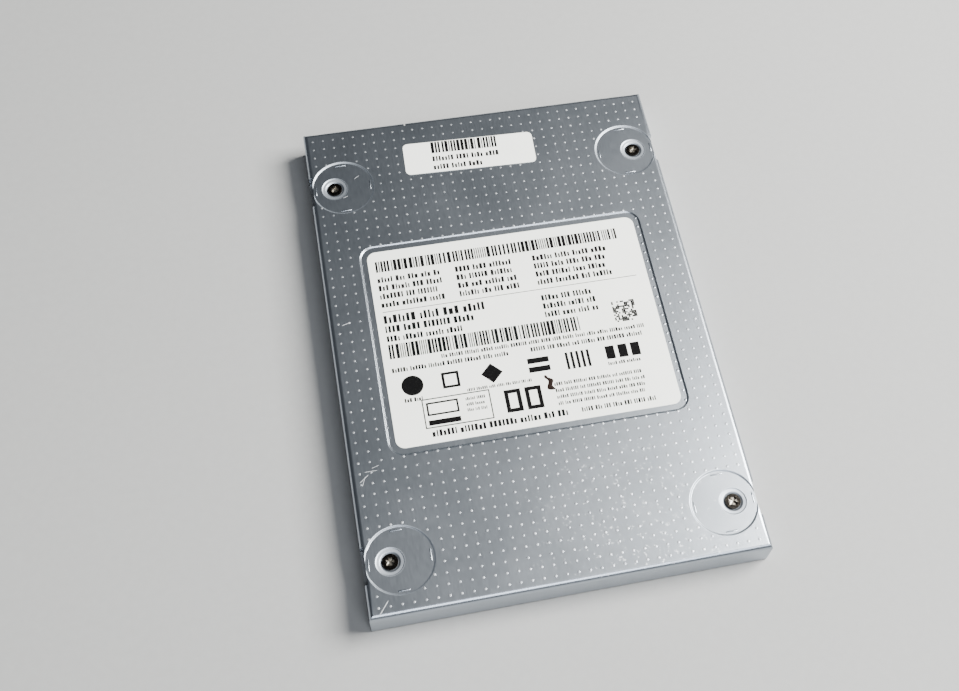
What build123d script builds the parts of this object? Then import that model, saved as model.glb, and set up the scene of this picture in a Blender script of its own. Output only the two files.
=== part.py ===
from build123d import *
import os

# A 2.5 inch solid state drive, 7 mm class, lying label side up. Millimetres.
# The origin is the middle of the underside, +Y points to the plug end and +Z is up.

# Overall size
WIDTH = 69.85
LENGTH = 100.0
HEIGHT = 7.0

# Pressed sheet cover
LABEL_FILM = 0.1
SHEET = 0.5
INNER_BEND = 0.5
SKIRT_GAP = 0.1
LIP_DEPTH = 1.2
LIP_CORNER = 1.67
RELIEF_WIDTH = 1.9
RELIEF_DEPTH = 0.45
LIP_SLIT_FROM_SIDE = 20.3
LIP_SLIT_WIDTH = 0.3
CORNER_SEAM = 0.35

# Round screw pads, pressed into the cover over the four bosses
PAD_RADIUS = 6.1
PAD_FROM_SIDE = 6.4
PAD_DEPTH = 0.2
PRESS_SLOPE = 0.25
DIMPLE_RIM_RADIUS = 2.5
DIMPLE_FLOOR_RADIUS = 1.6
DIMPLE_DEPTH = 0.45
DIMPLE_WALL = 0.35
NOTCH_LENGTH = 6.5
NOTCH_INSET = 0.6

# Label recess, pressed into the cover
RECESS_WIDTH = 55.0
RECESS_LENGTH = 43.6
RECESS_OFFSET = -0.25
RECESS_CORNER = 2.8
RECESS_DEPTH = 0.2
RECESS_SLOPE = 0.25
LABEL_MARGIN = 1.35
LABEL_CORNER = 1.7
SMALL_LABEL_WIDTH = 26.2
SMALL_LABEL_LENGTH = 7.45
SMALL_LABEL_CORNER = 1.0
SMALL_LABEL_FROM_PLUG_END = 9.85
SMALL_LABEL_OFFSET = -2.7
SMALL_LABEL_TURN = -1.8

# Die-cast base tray
LEDGE = 0.5
EDGE_BREAK = 0.2
FIT = 0.1
WALL = 1.2
PLUG_END_WALL = 1.8
FLOOR = 0.9
CAST_CORNER = 1.5
BOSS_RADIUS = 3.6
SHELF_DROP = 1.2
WEB = 0.4

# Fastening holes, tapped from below and from the sides
HOLE_FROM_SIDE = 4.065
HOLE_FROM_PLUG_END = 14.0
HOLE_FROM_NEAR_END = 9.4
HOLE_RADIUS = 1.25
SIDE_HOLE_HEIGHT = 3.0

# Cover screws
SCREW_FROM_SIDE = 4.75
SCREW_RADIUS = 1.0
SCREW_HOLE_SLACK = 0.1
THREAD_SLACK = 0.025
SCREW_LENGTH = 2.5
SCREW_HEAD_RADIUS = 1.4
SCREW_HEAD_HEIGHT = 0.4
DRIVE_WIDTH = 0.4
DRIVE_SPAN = 1.7
DRIVE_DEPTH = 0.35

# Circuit board and its screws
LOWER_PAD_THICK = 0.4
BOARD_THICK = 1.0
BOARD_GAP = 0.4
STANDOFF_RADIUS = 2.0
BOARD_SCREW_RADIUS = 0.8
BOARD_SCREW_HEAD_RADIUS = 1.5
BOARD_SCREW_HEAD_HEIGHT = 0.6
BOARD_SCREW_TIP_GAP = 0.2
NEAR_SCREW_FROM_SIDE = 12.4
NEAR_SCREW_FROM_EDGE = 3.2
FAR_SCREW_FROM_EDGE = 4.0

# Serial plug: a tongue in two segments, contacts on its underside
PLUG_OFFSET = 4.8
PITCH = 1.27
SIGNAL_COUNT = 7
POWER_COUNT = 15
SEGMENT_GAP = 6.35
TONGUE_MARGIN = 0.82
TONGUE_HEIGHT = 3.5
TONGUE_THICK = 1.23
TONGUE_SETBACK = 0.8
TONGUE_TIP_CHAMFER = 0.25
KEY_THICK = 1.2
KEY_RISE = 1.2
KEY_SLOT = 1.5
EAR_GAP = 1.4
EAR_WIDTH = 3.27
EAR_SETBACK = 0.3
EAR_SLOT_WIDTH = 1.1
EAR_SLOT_HEIGHT = 2.2
MOUTH_DEPTH = 5.6
HOUSING_BLOCK = 3.4
CONTACT_WIDTH = 0.8
CONTACT_THICK = 0.15
CONTACT_PROUD = 0.05
CONTACT_SETBACK = 0.5
CONTACT_STAGGER = 0.6
CONTACT_JOG = 1.0
CONTACT_TAIL = 1.5
EARLY_SIGNAL = (0, 3, 6)
EARLY_POWER = (3, 11)
HOLD_DOWN_WIDTH = 2.2
HOLD_DOWN_THICK = 0.3
HOLD_DOWN_INSET = 1.6
HOLD_DOWN_TAIL = 1.2

# Chips and small parts on the board
FLASH_WIDTH = 14.0
FLASH_LENGTH = 18.0
FLASH_THICK = 1.0
FLASH_COLUMN_GAP = 10.0
FLASH_ROW_GAP = 4.0
FLASH_FROM_EDGE = 5.5
CHIP_CHAMFER = 0.15
CONTROLLER_SIDE = 14.0
CONTROLLER_THICK = 1.1
CONTROLLER_X = 6.0
CONTROLLER_SHARE = 0.2
CACHE_WIDTH = 8.0
CACHE_LENGTH = 12.0
CACHE_THICK = 0.9
CACHE_GAP = 5.0
SETTINGS_WIDTH = 4.0
SETTINGS_LENGTH = 5.0
SETTINGS_THICK = 0.8
SETTINGS_GAP = 3.0
CRYSTAL_WIDTH = 3.2
CRYSTAL_LENGTH = 2.5
CRYSTAL_THICK = 0.8
CRYSTAL_GAP = 3.0
POWER_ROW_FROM_PLUG = 6.0
POWER_ROW_MARGIN = 0.8
INDUCTOR_COUNT = 2
INDUCTOR_SIDE = 4.0
INDUCTOR_THICK = 1.6
INDUCTOR_CORNER = 0.6
REGULATOR_COUNT = 2
REGULATOR_SIDE = 4.0
REGULATOR_THICK = 0.9
FUSE_WIDTH = 3.2
FUSE_LENGTH = 1.6
FUSE_THICK = 0.6
BULK_COUNT = 3
BULK_WIDTH = 3.5
BULK_LENGTH = 2.8
BULK_THICK = 1.9
CERAMIC_WIDTH = 0.6
CERAMIC_LENGTH = 1.1
CERAMIC_THICK = 0.6
CERAMIC_STEP = 4.0
CERAMIC_GAP = 1.2
RESISTOR_WIDTH = 0.5
RESISTOR_LENGTH = 1.0
RESISTOR_THICK = 0.35
RESISTOR_FROM_PLUG = 3.0

# Heights worked out from the sizes above
FACE = HEIGHT - LABEL_FILM
UNDERSIDE = FACE - SHEET
BEND = SHEET + INNER_BEND
SKIRT_BOTTOM = LEDGE + SKIRT_GAP
LIP_BOTTOM = FACE - LIP_DEPTH
PAD_FACE = FACE - PAD_DEPTH
PAD_UNDERSIDE = PAD_FACE - SHEET
DIMPLE_FLOOR = PAD_FACE - DIMPLE_DEPTH
DIMPLE_UNDERSIDE = DIMPLE_FLOOR - SHEET
RECESS_FLOOR = FACE - RECESS_DEPTH
RECESS_UNDERSIDE = RECESS_FLOOR - SHEET
WALL_TOP = PAD_UNDERSIDE - FIT
SHELF_TOP = PAD_UNDERSIDE - SHELF_DROP
SCREW_TIP = DIMPLE_FLOOR - SCREW_LENGTH
PILOT_BOTTOM = SCREW_TIP - FIT
BOTTOM_HOLE_DEPTH = PILOT_BOTTOM - WEB
SIDE_HOLE_DEPTH = HOLE_FROM_SIDE - HOLE_RADIUS - WEB
BOARD_BOTTOM = FLOOR + LOWER_PAD_THICK + FLASH_THICK
BOARD_TOP = BOARD_BOTTOM + BOARD_THICK
HOUSING_TOP = LIP_BOTTOM - FIT

# Places worked out from the sizes above
SIDE = WIDTH / 2
END = LENGTH / 2
BODY_SIDE = SIDE - SHEET - FIT
BODY_NEAR = -END + SHEET + FIT
CAVITY_SIDE = BODY_SIDE - WALL
CAVITY_NEAR = BODY_NEAR + WALL
CAVITY_FAR = END - PLUG_END_WALL
HOLE_ROWS = (END - HOLE_FROM_PLUG_END, -END + HOLE_FROM_NEAR_END)
BOARD_SIDE = CAVITY_SIDE - BOARD_GAP
BOARD_NEAR = CAVITY_NEAR + BOARD_GAP
BOARD_FAR = CAVITY_FAR - BOARD_GAP
MOUTH_BACK = END - MOUTH_DEPTH
HOUSING_BACK = MOUTH_BACK - HOUSING_BLOCK
CONTACT_SPAN = (SIGNAL_COUNT + POWER_COUNT - 2) * PITCH + SEGMENT_GAP
SIGNAL_START = PLUG_OFFSET - CONTACT_SPAN / 2
SIGNAL_END = SIGNAL_START + (SIGNAL_COUNT - 1) * PITCH
POWER_START = SIGNAL_END + SEGMENT_GAP
KEY_MIDDLE = SIGNAL_END + SEGMENT_GAP / 2
TONGUE_HALF = CONTACT_SPAN / 2 + TONGUE_MARGIN
HOUSING_HALF = TONGUE_HALF + EAR_GAP + EAR_WIDTH
TONGUE_BOTTOM = TONGUE_HEIGHT - TONGUE_THICK / 2
TONGUE_TOP = TONGUE_HEIGHT + TONGUE_THICK / 2
CONTACT_BOTTOM = TONGUE_BOTTOM - CONTACT_PROUD
FLASH_COLUMNS = (-(FLASH_WIDTH + FLASH_COLUMN_GAP) / 2, (FLASH_WIDTH + FLASH_COLUMN_GAP) / 2)
FLASH_FIELD_WIDTH = 2 * FLASH_WIDTH + FLASH_COLUMN_GAP
FLASH_ROW_1 = BOARD_NEAR + FLASH_FROM_EDGE + FLASH_LENGTH / 2
FLASH_ROW_2 = FLASH_ROW_1 + FLASH_LENGTH + FLASH_ROW_GAP
FLASH_MIDDLE = (FLASH_ROW_1 + FLASH_ROW_2) / 2
FLASH_END = FLASH_ROW_2 + FLASH_LENGTH / 2
POWER_ROW_Y = HOUSING_BACK - POWER_ROW_FROM_PLUG
POWER_ROW_SIDE = SIDE - SCREW_FROM_SIDE - BOSS_RADIUS - BOARD_GAP - POWER_ROW_MARGIN
CONTROLLER_FIELD = CONTROLLER_SIDE + CERAMIC_GAP + CERAMIC_LENGTH
CONTROLLER_ROOM = POWER_ROW_Y - INDUCTOR_SIDE / 2 - FLASH_END - CONTROLLER_FIELD
CONTROLLER_Y = FLASH_END + CONTROLLER_SHARE * CONTROLLER_ROOM + CONTROLLER_SIDE / 2
FAR_SCREW_X = (PLUG_OFFSET - HOUSING_HALF - BOARD_GAP - BOARD_SIDE) / 2
BOARD_SCREWS = (
    (-SIDE + NEAR_SCREW_FROM_SIDE, BOARD_NEAR + NEAR_SCREW_FROM_EDGE),
    (SIDE - NEAR_SCREW_FROM_SIDE, BOARD_NEAR + NEAR_SCREW_FROM_EDGE),
    (FAR_SCREW_X, BOARD_FAR - FAR_SCREW_FROM_EDGE),
)


def block(x0, x1, y0, y1, z0, z1):
    """A block between two corners."""
    middle = Pos((x0 + x1) / 2, (y0 + y1) / 2, (z0 + z1) / 2)
    return middle * Box(x1 - x0, y1 - y0, z1 - z0)


def upright(x, y, z0, z1, r0, r1=None):
    """A round post from z0 to z1, tapering from r0 to r1 if r1 is given."""
    place = Pos(x, y, (z0 + z1) / 2)
    if r1 is None:
        return place * Cylinder(r0, z1 - z0)
    return place * Cone(r0, r1, z1 - z0)


def corners(from_side):
    """The four fastening places, at one distance from the long sides, with the sign of X."""
    return [(side * (SIDE - from_side), y, side) for side in (-1, 1) for y in HOLE_ROWS]


def folded_blank():
    """Sheet folded down on three sides, with a short lip over the plug end."""
    outer = extrude(Plane.XY.offset(SKIRT_BOTTOM) * Rectangle(WIDTH, LENGTH), FACE - SKIRT_BOTTOM)
    outer = fillet(outer.faces().sort_by(Axis.Z)[-1].edges(), BEND)
    inside = Rectangle(WIDTH - 2 * SHEET, LENGTH - 2 * SHEET)
    inner = extrude(Plane.XY.offset(SKIRT_BOTTOM) * inside, UNDERSIDE - SKIRT_BOTTOM)
    inner = fillet(inner.faces().sort_by(Axis.Z)[-1].edges(), INNER_BEND)
    under_lip = block(-SIDE + SHEET, SIDE - SHEET, END - 2 * SHEET, END + SHEET, 0, LIP_BOTTOM)
    return outer - inner - under_lip


def edge_cuts():
    """Corner reliefs and slit in the lip, corner seams and side notches in the skirts."""
    cuts = []
    lip_end = SIDE - LIP_CORNER
    for side in (-1, 1):
        x0, x1 = sorted((side * lip_end, side * (lip_end - RELIEF_WIDTH)))
        cuts.append(block(x0, x1, END - RELIEF_DEPTH, END + SHEET, 0, HEIGHT))
        x0, x1 = sorted((side * (SIDE - SHEET - FIT), side * (SIDE + SHEET)))
        seam = -END + SHEET
        cuts.append(block(x0, x1, seam, seam + CORNER_SEAM, 0, FACE - BEND))
    slit = -SIDE + LIP_SLIT_FROM_SIDE
    cuts.append(block(slit, slit + LIP_SLIT_WIDTH, END - BEND, END + SHEET, 0, HEIGHT))
    for x, y, side in corners(NOTCH_INSET):
        x0, x1 = sorted((x, side * (SIDE + SHEET)))
        cuts.append(block(x0, x1, y - NOTCH_LENGTH / 2, y + NOTCH_LENGTH / 2, 0, HEIGHT))
    return cuts


def recess_shape(top):
    """The label recess as a shallow pan whose rim lies at the height top."""
    floor_corner = RECESS_CORNER - RECESS_SLOPE
    rim = RectangleRounded(RECESS_WIDTH, RECESS_LENGTH, RECESS_CORNER)
    floor = RectangleRounded(
        RECESS_WIDTH - 2 * RECESS_SLOPE, RECESS_LENGTH - 2 * RECESS_SLOPE, floor_corner
    )
    return loft([Pos(0, RECESS_OFFSET, top) * rim, Pos(0, RECESS_OFFSET, top - RECESS_DEPTH) * floor])


def top_cover():
    """The pressed cover: label recess, screw pads with dimples, skirts, lip and notches."""
    cover = folded_blank() + recess_shape(UNDERSIDE) - recess_shape(FACE)
    pad_floor = PAD_RADIUS - PRESS_SLOPE
    inside = block(-SIDE + SHEET, SIDE - SHEET, -END + SHEET, END - SHEET, 0, HEIGHT)
    for x, y, side in corners(PAD_FROM_SIDE):
        cover += inside & upright(x, y, PAD_UNDERSIDE, UNDERSIDE, pad_floor, PAD_RADIUS)
        cover -= upright(x, y, PAD_FACE, FACE, pad_floor, PAD_RADIUS)
    under_floor = DIMPLE_FLOOR_RADIUS + DIMPLE_WALL
    under_rim = DIMPLE_RIM_RADIUS + DIMPLE_WALL
    for x, y, side in corners(SCREW_FROM_SIDE):
        cover += upright(x, y, DIMPLE_UNDERSIDE, PAD_UNDERSIDE, under_floor, under_rim)
        cover -= upright(x, y, DIMPLE_FLOOR, PAD_FACE, DIMPLE_FLOOR_RADIUS, DIMPLE_RIM_RADIUS)
        cover -= upright(x, y, DIMPLE_UNDERSIDE, PAD_FACE, SCREW_RADIUS + SCREW_HOLE_SLACK)
    for cut in edge_cuts():
        cover -= cut
    return cover


def main_label():
    """The label in the recess."""
    width = RECESS_WIDTH - 2 * LABEL_MARGIN
    length = RECESS_LENGTH - 2 * LABEL_MARGIN
    outline = RectangleRounded(width, length, LABEL_CORNER)
    return extrude(Pos(0, RECESS_OFFSET, RECESS_FLOOR) * outline, LABEL_FILM)


def small_label():
    """The second label near the plug end, stuck on a little askew."""
    outline = RectangleRounded(SMALL_LABEL_WIDTH, SMALL_LABEL_LENGTH, SMALL_LABEL_CORNER)
    place = Pos(SMALL_LABEL_OFFSET, END - SMALL_LABEL_FROM_PLUG_END, FACE) * Rot(0, 0, SMALL_LABEL_TURN)
    return extrude(place * outline, LABEL_FILM)


def boss(x, y, side):
    """A boss under a dimple, grown out of the side wall, with its shelf in the skirt notch."""
    to_wall = BODY_SIDE - abs(x)
    outline = Circle(BOSS_RADIUS) + Pos(side * to_wall / 2, 0) * Rectangle(to_wall, 2 * BOSS_RADIUS)
    post = extrude(Pos(x, y, 0) * outline, DIMPLE_UNDERSIDE)
    half = NOTCH_LENGTH / 2 - FIT
    x0, x1 = sorted((x, side * SIDE))
    return post + block(x0, x1, y - half, y + half, EDGE_BREAK, SHELF_TOP)


def tapped_holes():
    """Holes from below, from the sides and for the cover screws."""
    holes = []
    for x, y, side in corners(HOLE_FROM_SIDE):
        holes.append(upright(x, y, 0, BOTTOM_HOLE_DEPTH, HOLE_RADIUS))
        middle = Pos(side * (SIDE - SIDE_HOLE_DEPTH / 2), y, SIDE_HOLE_HEIGHT)
        holes.append(middle * Rot(0, 90, 0) * Cylinder(HOLE_RADIUS, SIDE_HOLE_DEPTH))
    for x, y, side in corners(SCREW_FROM_SIDE):
        holes.append(upright(x, y, PILOT_BOTTOM, DIMPLE_UNDERSIDE, SCREW_RADIUS + THREAD_SLACK))
    return holes


def plug_openings():
    """Room for the plug housing in the end wall, and the open mouth below its tongue."""
    half = HOUSING_HALF + FIT
    mouth = TONGUE_HALF + EAR_GAP
    seat = block(PLUG_OFFSET - half, PLUG_OFFSET + half, HOUSING_BACK, END + SHEET, FLOOR, HEIGHT)
    below = block(PLUG_OFFSET - mouth, PLUG_OFFSET + mouth, MOUTH_BACK, END + SHEET, -FLOOR, FLOOR)
    return [seat, below]


def base_tray():
    """The die-cast tray: ledge, walls, bosses, standoffs, holes and plug opening."""
    middle = (BODY_NEAR + END) / 2
    walls = Pos(0, middle) * Rectangle(2 * BODY_SIDE, END - BODY_NEAR)
    ledge = extrude(Rectangle(WIDTH, LENGTH), LEDGE)
    ledge = chamfer(ledge.faces().sort_by(Axis.Z)[0].edges(), EDGE_BREAK)
    tray = ledge + extrude(Pos(0, 0, EDGE_BREAK) * walls, WALL_TOP - EDGE_BREAK)
    lip_step = END - SHEET - FIT
    tray -= block(-SIDE, SIDE, lip_step, END + SHEET, LIP_BOTTOM - FIT, HEIGHT)
    cavity_middle = (CAVITY_NEAR + CAVITY_FAR) / 2
    cavity = RectangleRounded(2 * CAVITY_SIDE, CAVITY_FAR - CAVITY_NEAR, CAST_CORNER)
    tray -= extrude(Pos(0, cavity_middle, FLOOR) * cavity, HEIGHT)
    for x, y, side in corners(SCREW_FROM_SIDE):
        tray += boss(x, y, side)
    for x, y in BOARD_SCREWS:
        tray += upright(x, y, 0, BOARD_BOTTOM, STANDOFF_RADIUS)
        tray -= upright(x, y, FLOOR, BOARD_BOTTOM, BOARD_SCREW_RADIUS + THREAD_SLACK)
    for cut in tapped_holes() + plug_openings():
        tray -= cut
    return tray


def screw(x, y, seat, tip, radius, head_radius, head_height):
    """A screw with a low flat head and a cross recess, its head resting at the height seat."""
    top = seat + head_height
    body = upright(x, y, seat, top, head_radius) + upright(x, y, tip, seat, radius)
    for turn in (45, 135):
        arm = Box(DRIVE_SPAN, DRIVE_WIDTH, 2 * DRIVE_DEPTH)
        body -= Pos(x, y, top) * Rot(0, 0, turn) * arm
    return body


def cover_screws():
    """The four screws that hold the cover to the bosses."""
    return [
        screw(x, y, DIMPLE_FLOOR, SCREW_TIP, SCREW_RADIUS, SCREW_HEAD_RADIUS, SCREW_HEAD_HEIGHT)
        for x, y, side in corners(SCREW_FROM_SIDE)
    ]


def board_screws():
    """The screws that hold the board to the standoffs."""
    tip = FLOOR + BOARD_SCREW_TIP_GAP
    return [
        screw(x, y, BOARD_TOP, tip, BOARD_SCREW_RADIUS, BOARD_SCREW_HEAD_RADIUS, BOARD_SCREW_HEAD_HEIGHT)
        for x, y in BOARD_SCREWS
    ]


def circuit_board():
    """The board, cut out round the bosses and the plug, with holes for its screws."""
    middle = (BOARD_NEAR + BOARD_FAR) / 2
    outline = Pos(0, middle) * RectangleRounded(2 * BOARD_SIDE, BOARD_FAR - BOARD_NEAR, CAST_CORNER)
    for x, y, side in corners(SCREW_FROM_SIDE):
        room = BOSS_RADIUS + BOARD_GAP
        outline -= Pos(x, y) * Circle(room)
        outline -= Pos(side * (abs(x) + SIDE) / 2, y) * Rectangle(SIDE - abs(x), 2 * room)
    plug_half = HOUSING_HALF + BOARD_GAP
    plug_back = HOUSING_BACK - FIT
    outline -= Pos(PLUG_OFFSET, (plug_back + END) / 2) * Rectangle(2 * plug_half, END - plug_back)
    for x, y in BOARD_SCREWS:
        outline -= Pos(x, y) * Circle(BOARD_SCREW_RADIUS + SCREW_HOLE_SLACK)
    return extrude(Plane.XY.offset(BOARD_BOTTOM) * outline, BOARD_THICK)


def contacts(start, count, early):
    """A row of contacts: along the tongue, up through the housing and out onto the board."""
    jog_front = MOUTH_BACK - (HOUSING_BLOCK - CONTACT_JOG) / 2
    row = []
    for i in range(count):
        tip = END - TONGUE_SETBACK - CONTACT_SETBACK
        if i not in early:
            tip -= CONTACT_STAGGER
        lower = [
            (tip, CONTACT_BOTTOM),
            (jog_front, CONTACT_BOTTOM),
            (jog_front - CONTACT_JOG, BOARD_TOP),
            (HOUSING_BACK - FIT - CONTACT_TAIL, BOARD_TOP),
        ]
        upper = [(y, z + CONTACT_THICK) for y, z in reversed(lower)]
        strip = make_face(Polyline(*lower, *upper, close=True))
        row.append(Pos(start + i * PITCH) * extrude(Plane.YZ * strip, CONTACT_WIDTH / 2, both=True))
    return row


def signal_contacts():
    """The contacts of the narrow segment."""
    return contacts(SIGNAL_START, SIGNAL_COUNT, EARLY_SIGNAL)


def power_contacts():
    """The contacts of the wide segment."""
    return contacts(POWER_START, POWER_COUNT, EARLY_POWER)


def connector_hold_downs():
    """Two metal tabs that tie the housing's ends to the board."""
    tabs = []
    for side in (-1, 1):
        x = PLUG_OFFSET + side * (HOUSING_HALF - HOLD_DOWN_INSET)
        half = HOLD_DOWN_WIDTH / 2
        front = HOUSING_BACK + HOUSING_BLOCK / 2
        back = HOUSING_BACK - FIT - HOLD_DOWN_TAIL
        tabs.append(block(x - half, x + half, back, front, BOARD_TOP, BOARD_TOP + HOLD_DOWN_THICK))
    return tabs


def tongue(outer_end, key_end):
    """One tongue segment: a flat bar with a raised key along its inner edge, its tip chamfered."""
    inward = 1 if key_end > outer_end else -1
    key = key_end - inward * KEY_THICK
    profile = [
        (outer_end, TONGUE_BOTTOM),
        (key_end, TONGUE_BOTTOM),
        (key_end, TONGUE_TOP + KEY_RISE),
        (key, TONGUE_TOP + KEY_RISE),
        (key, TONGUE_TOP),
        (outer_end, TONGUE_TOP),
    ]
    section = make_face(Polyline(*profile, close=True))
    # The drawing plane faces -Y, so a negative length runs towards the plug end
    bar = extrude(Plane.XZ.offset(-MOUTH_BACK) * section, -(MOUTH_DEPTH - TONGUE_SETBACK))
    tip = bar.faces().sort_by(Axis.Y)[-1]
    return chamfer(tip.edges(), TONGUE_TIP_CHAMFER)


def connector_housing():
    """The plug body: rear block, guide ears and the two tongue segments, with contacts let in."""
    left = PLUG_OFFSET - HOUSING_HALF
    right = PLUG_OFFSET + HOUSING_HALF
    body = block(left, right, HOUSING_BACK, MOUTH_BACK, FLOOR, HOUSING_TOP)
    slot_bottom = TONGUE_HEIGHT - EAR_SLOT_HEIGHT / 2
    slot_top = TONGUE_HEIGHT + EAR_SLOT_HEIGHT / 2
    front = END - EAR_SETBACK
    for x0, inner in ((left, 1), (right - EAR_WIDTH, -1)):
        body += block(x0, x0 + EAR_WIDTH, MOUTH_BACK, front, FLOOR, HOUSING_TOP)
        edge = x0 + EAR_WIDTH if inner > 0 else x0
        s0, s1 = sorted((edge, edge - inner * EAR_SLOT_WIDTH))
        body -= block(s0, s1, MOUTH_BACK, front, slot_bottom, slot_top)
    body += tongue(PLUG_OFFSET - TONGUE_HALF, KEY_MIDDLE - KEY_SLOT / 2)
    body += tongue(PLUG_OFFSET + TONGUE_HALF, KEY_MIDDLE + KEY_SLOT / 2)
    for insert in signal_contacts() + power_contacts() + connector_hold_downs():
        body -= insert
    return body


def slab(x, y, width, length, z0, thick):
    """A block centred on x and y, standing on the height z0."""
    return Pos(x, y, z0 + thick / 2) * Box(width, length, thick)


def chip(x, y, width, length, z0, thick, plain_face=-1):
    """A moulded package, chamfered round its plain face: -1 is the upper face, 0 the lower."""
    body = slab(x, y, width, length, z0, thick)
    return chamfer(body.faces().sort_by(Axis.Z)[plain_face].edges(), CHIP_CHAMFER)


def flash_packages():
    """The flash packages: four over the board, then four under it, plain faces outward."""
    packages = []
    for z0, plain_face in ((BOARD_TOP, -1), (BOARD_BOTTOM - FLASH_THICK, 0)):
        for y in (FLASH_ROW_1, FLASH_ROW_2):
            for x in FLASH_COLUMNS:
                packages.append(chip(x, y, FLASH_WIDTH, FLASH_LENGTH, z0, FLASH_THICK, plain_face))
    return packages


def controller_chip():
    """The controller."""
    return chip(CONTROLLER_X, CONTROLLER_Y, CONTROLLER_SIDE, CONTROLLER_SIDE, BOARD_TOP, CONTROLLER_THICK)


def cache_memory():
    """The working memory beside the controller."""
    x = CONTROLLER_X - CONTROLLER_SIDE / 2 - CACHE_GAP - CACHE_WIDTH / 2
    return chip(x, CONTROLLER_Y, CACHE_WIDTH, CACHE_LENGTH, BOARD_TOP, CACHE_THICK)


def settings_memory():
    """A small memory chip beyond the working memory."""
    cache_edge = CONTROLLER_X - CONTROLLER_SIDE / 2 - CACHE_GAP - CACHE_WIDTH
    x = cache_edge - SETTINGS_GAP - SETTINGS_WIDTH / 2
    return chip(x, CONTROLLER_Y, SETTINGS_WIDTH, SETTINGS_LENGTH, BOARD_TOP, SETTINGS_THICK)


def clock_crystal():
    """The clock crystal on the other side of the controller."""
    x = CONTROLLER_X + CONTROLLER_SIDE / 2 + CRYSTAL_GAP + CRYSTAL_WIDTH / 2
    return chip(x, CONTROLLER_Y, CRYSTAL_WIDTH, CRYSTAL_LENGTH, BOARD_TOP, CRYSTAL_THICK)


def lower_flash_pad():
    """The soft pad between the lower flash packages and the tray floor."""
    length = FLASH_ROW_2 - FLASH_ROW_1 + FLASH_LENGTH
    return slab(0, FLASH_MIDDLE, FLASH_FIELD_WIDTH, length, FLOOR, LOWER_PAD_THICK)


def upper_flash_pad():
    """The soft pad between the middle flash row and the label recess."""
    z0 = BOARD_TOP + FLASH_THICK
    return slab(0, FLASH_ROW_2, FLASH_FIELD_WIDTH, FLASH_LENGTH, z0, RECESS_UNDERSIDE - z0)


def controller_pad():
    """The soft pad between the controller and the label recess."""
    z0 = BOARD_TOP + CONTROLLER_THICK
    return slab(CONTROLLER_X, CONTROLLER_Y, CONTROLLER_SIDE, CONTROLLER_SIDE, z0, RECESS_UNDERSIDE - z0)


def power_row():
    """Places of the power parts, spread from +X to -X between the bosses behind the plug."""
    widths = (
        [("inductor", INDUCTOR_SIDE)] * INDUCTOR_COUNT
        + [("regulator", REGULATOR_SIDE)] * REGULATOR_COUNT
        + [("fuse", FUSE_WIDTH)]
        + [("bulk", BULK_WIDTH)] * BULK_COUNT
    )
    places = {"inductor": [], "regulator": [], "fuse": [], "bulk": []}
    gap = (2 * POWER_ROW_SIDE - sum(width for kind, width in widths)) / (len(widths) - 1)
    edge = POWER_ROW_SIDE
    for kind, width in widths:
        places[kind].append(edge - width / 2)
        edge -= width + gap
    return places


def power_inductors():
    """Square coils in moulded blocks with rounded corners."""
    outline = RectangleRounded(INDUCTOR_SIDE, INDUCTOR_SIDE, INDUCTOR_CORNER)
    return [
        extrude(Pos(x, POWER_ROW_Y, BOARD_TOP) * outline, INDUCTOR_THICK)
        for x in power_row()["inductor"]
    ]


def regulator_chips():
    """The voltage regulators."""
    return [
        chip(x, POWER_ROW_Y, REGULATOR_SIDE, REGULATOR_SIDE, BOARD_TOP, REGULATOR_THICK)
        for x in power_row()["regulator"]
    ]


def input_fuse():
    """The fuse in the supply line."""
    return chip(power_row()["fuse"][0], POWER_ROW_Y, FUSE_WIDTH, FUSE_LENGTH, BOARD_TOP, FUSE_THICK)


def bulk_capacitors():
    """The large supply capacitors."""
    return [
        chip(x, POWER_ROW_Y, BULK_WIDTH, BULK_LENGTH, BOARD_TOP, BULK_THICK)
        for x in power_row()["bulk"]
    ]


def chip_row(x0, x1, step, y, width, length, thick):
    """Small block parts in a row from x0 towards x1."""
    count = int((x1 - x0) / step) + 1
    return [slab(x0 + i * step, y, width, length, BOARD_TOP, thick) for i in range(count)]


def ceramic_capacitors():
    """Rows of small capacitors between the flash rows and beyond the controller."""
    span = (FLASH_FIELD_WIDTH - CERAMIC_WIDTH) / 2
    half = CONTROLLER_SIDE / 2
    beyond = CONTROLLER_Y + half + CERAMIC_GAP + CERAMIC_LENGTH / 2
    size = (CERAMIC_WIDTH, CERAMIC_LENGTH, CERAMIC_THICK)
    rows = chip_row(-span, span, CERAMIC_STEP, FLASH_MIDDLE, *size)
    return rows + chip_row(CONTROLLER_X - half, CONTROLLER_X + half, CERAMIC_STEP / 2, beyond, *size)


def chip_resistors():
    """A row of resistors behind the signal contacts, one to each contact."""
    y = HOUSING_BACK - RESISTOR_FROM_PLUG
    size = (RESISTOR_WIDTH, RESISTOR_LENGTH, RESISTOR_THICK)
    return chip_row(SIGNAL_START, SIGNAL_END + PITCH / 2, PITCH, y, *size)


SINGLES = [
    top_cover, base_tray, main_label, small_label, circuit_board, connector_housing, controller_chip,
    cache_memory, settings_memory, clock_crystal, controller_pad, lower_flash_pad, upper_flash_pad,
    input_fuse,
]
GROUPS = [
    cover_screws, board_screws, signal_contacts, power_contacts, connector_hold_downs, power_inductors,
    regulator_chips, bulk_capacitors, ceramic_capacitors, chip_resistors,
]

os.makedirs("parts", exist_ok=True)
for make in SINGLES:
    export_step(make(), "parts/" + make.__name__ + ".step")
for make in GROUPS:
    export_step(Compound(children=make()), "parts/" + make.__name__ + ".step")
for number, package in enumerate(flash_packages(), start=1):
    export_step(package, "parts/flash_package_" + str(number) + ".step")
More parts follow.
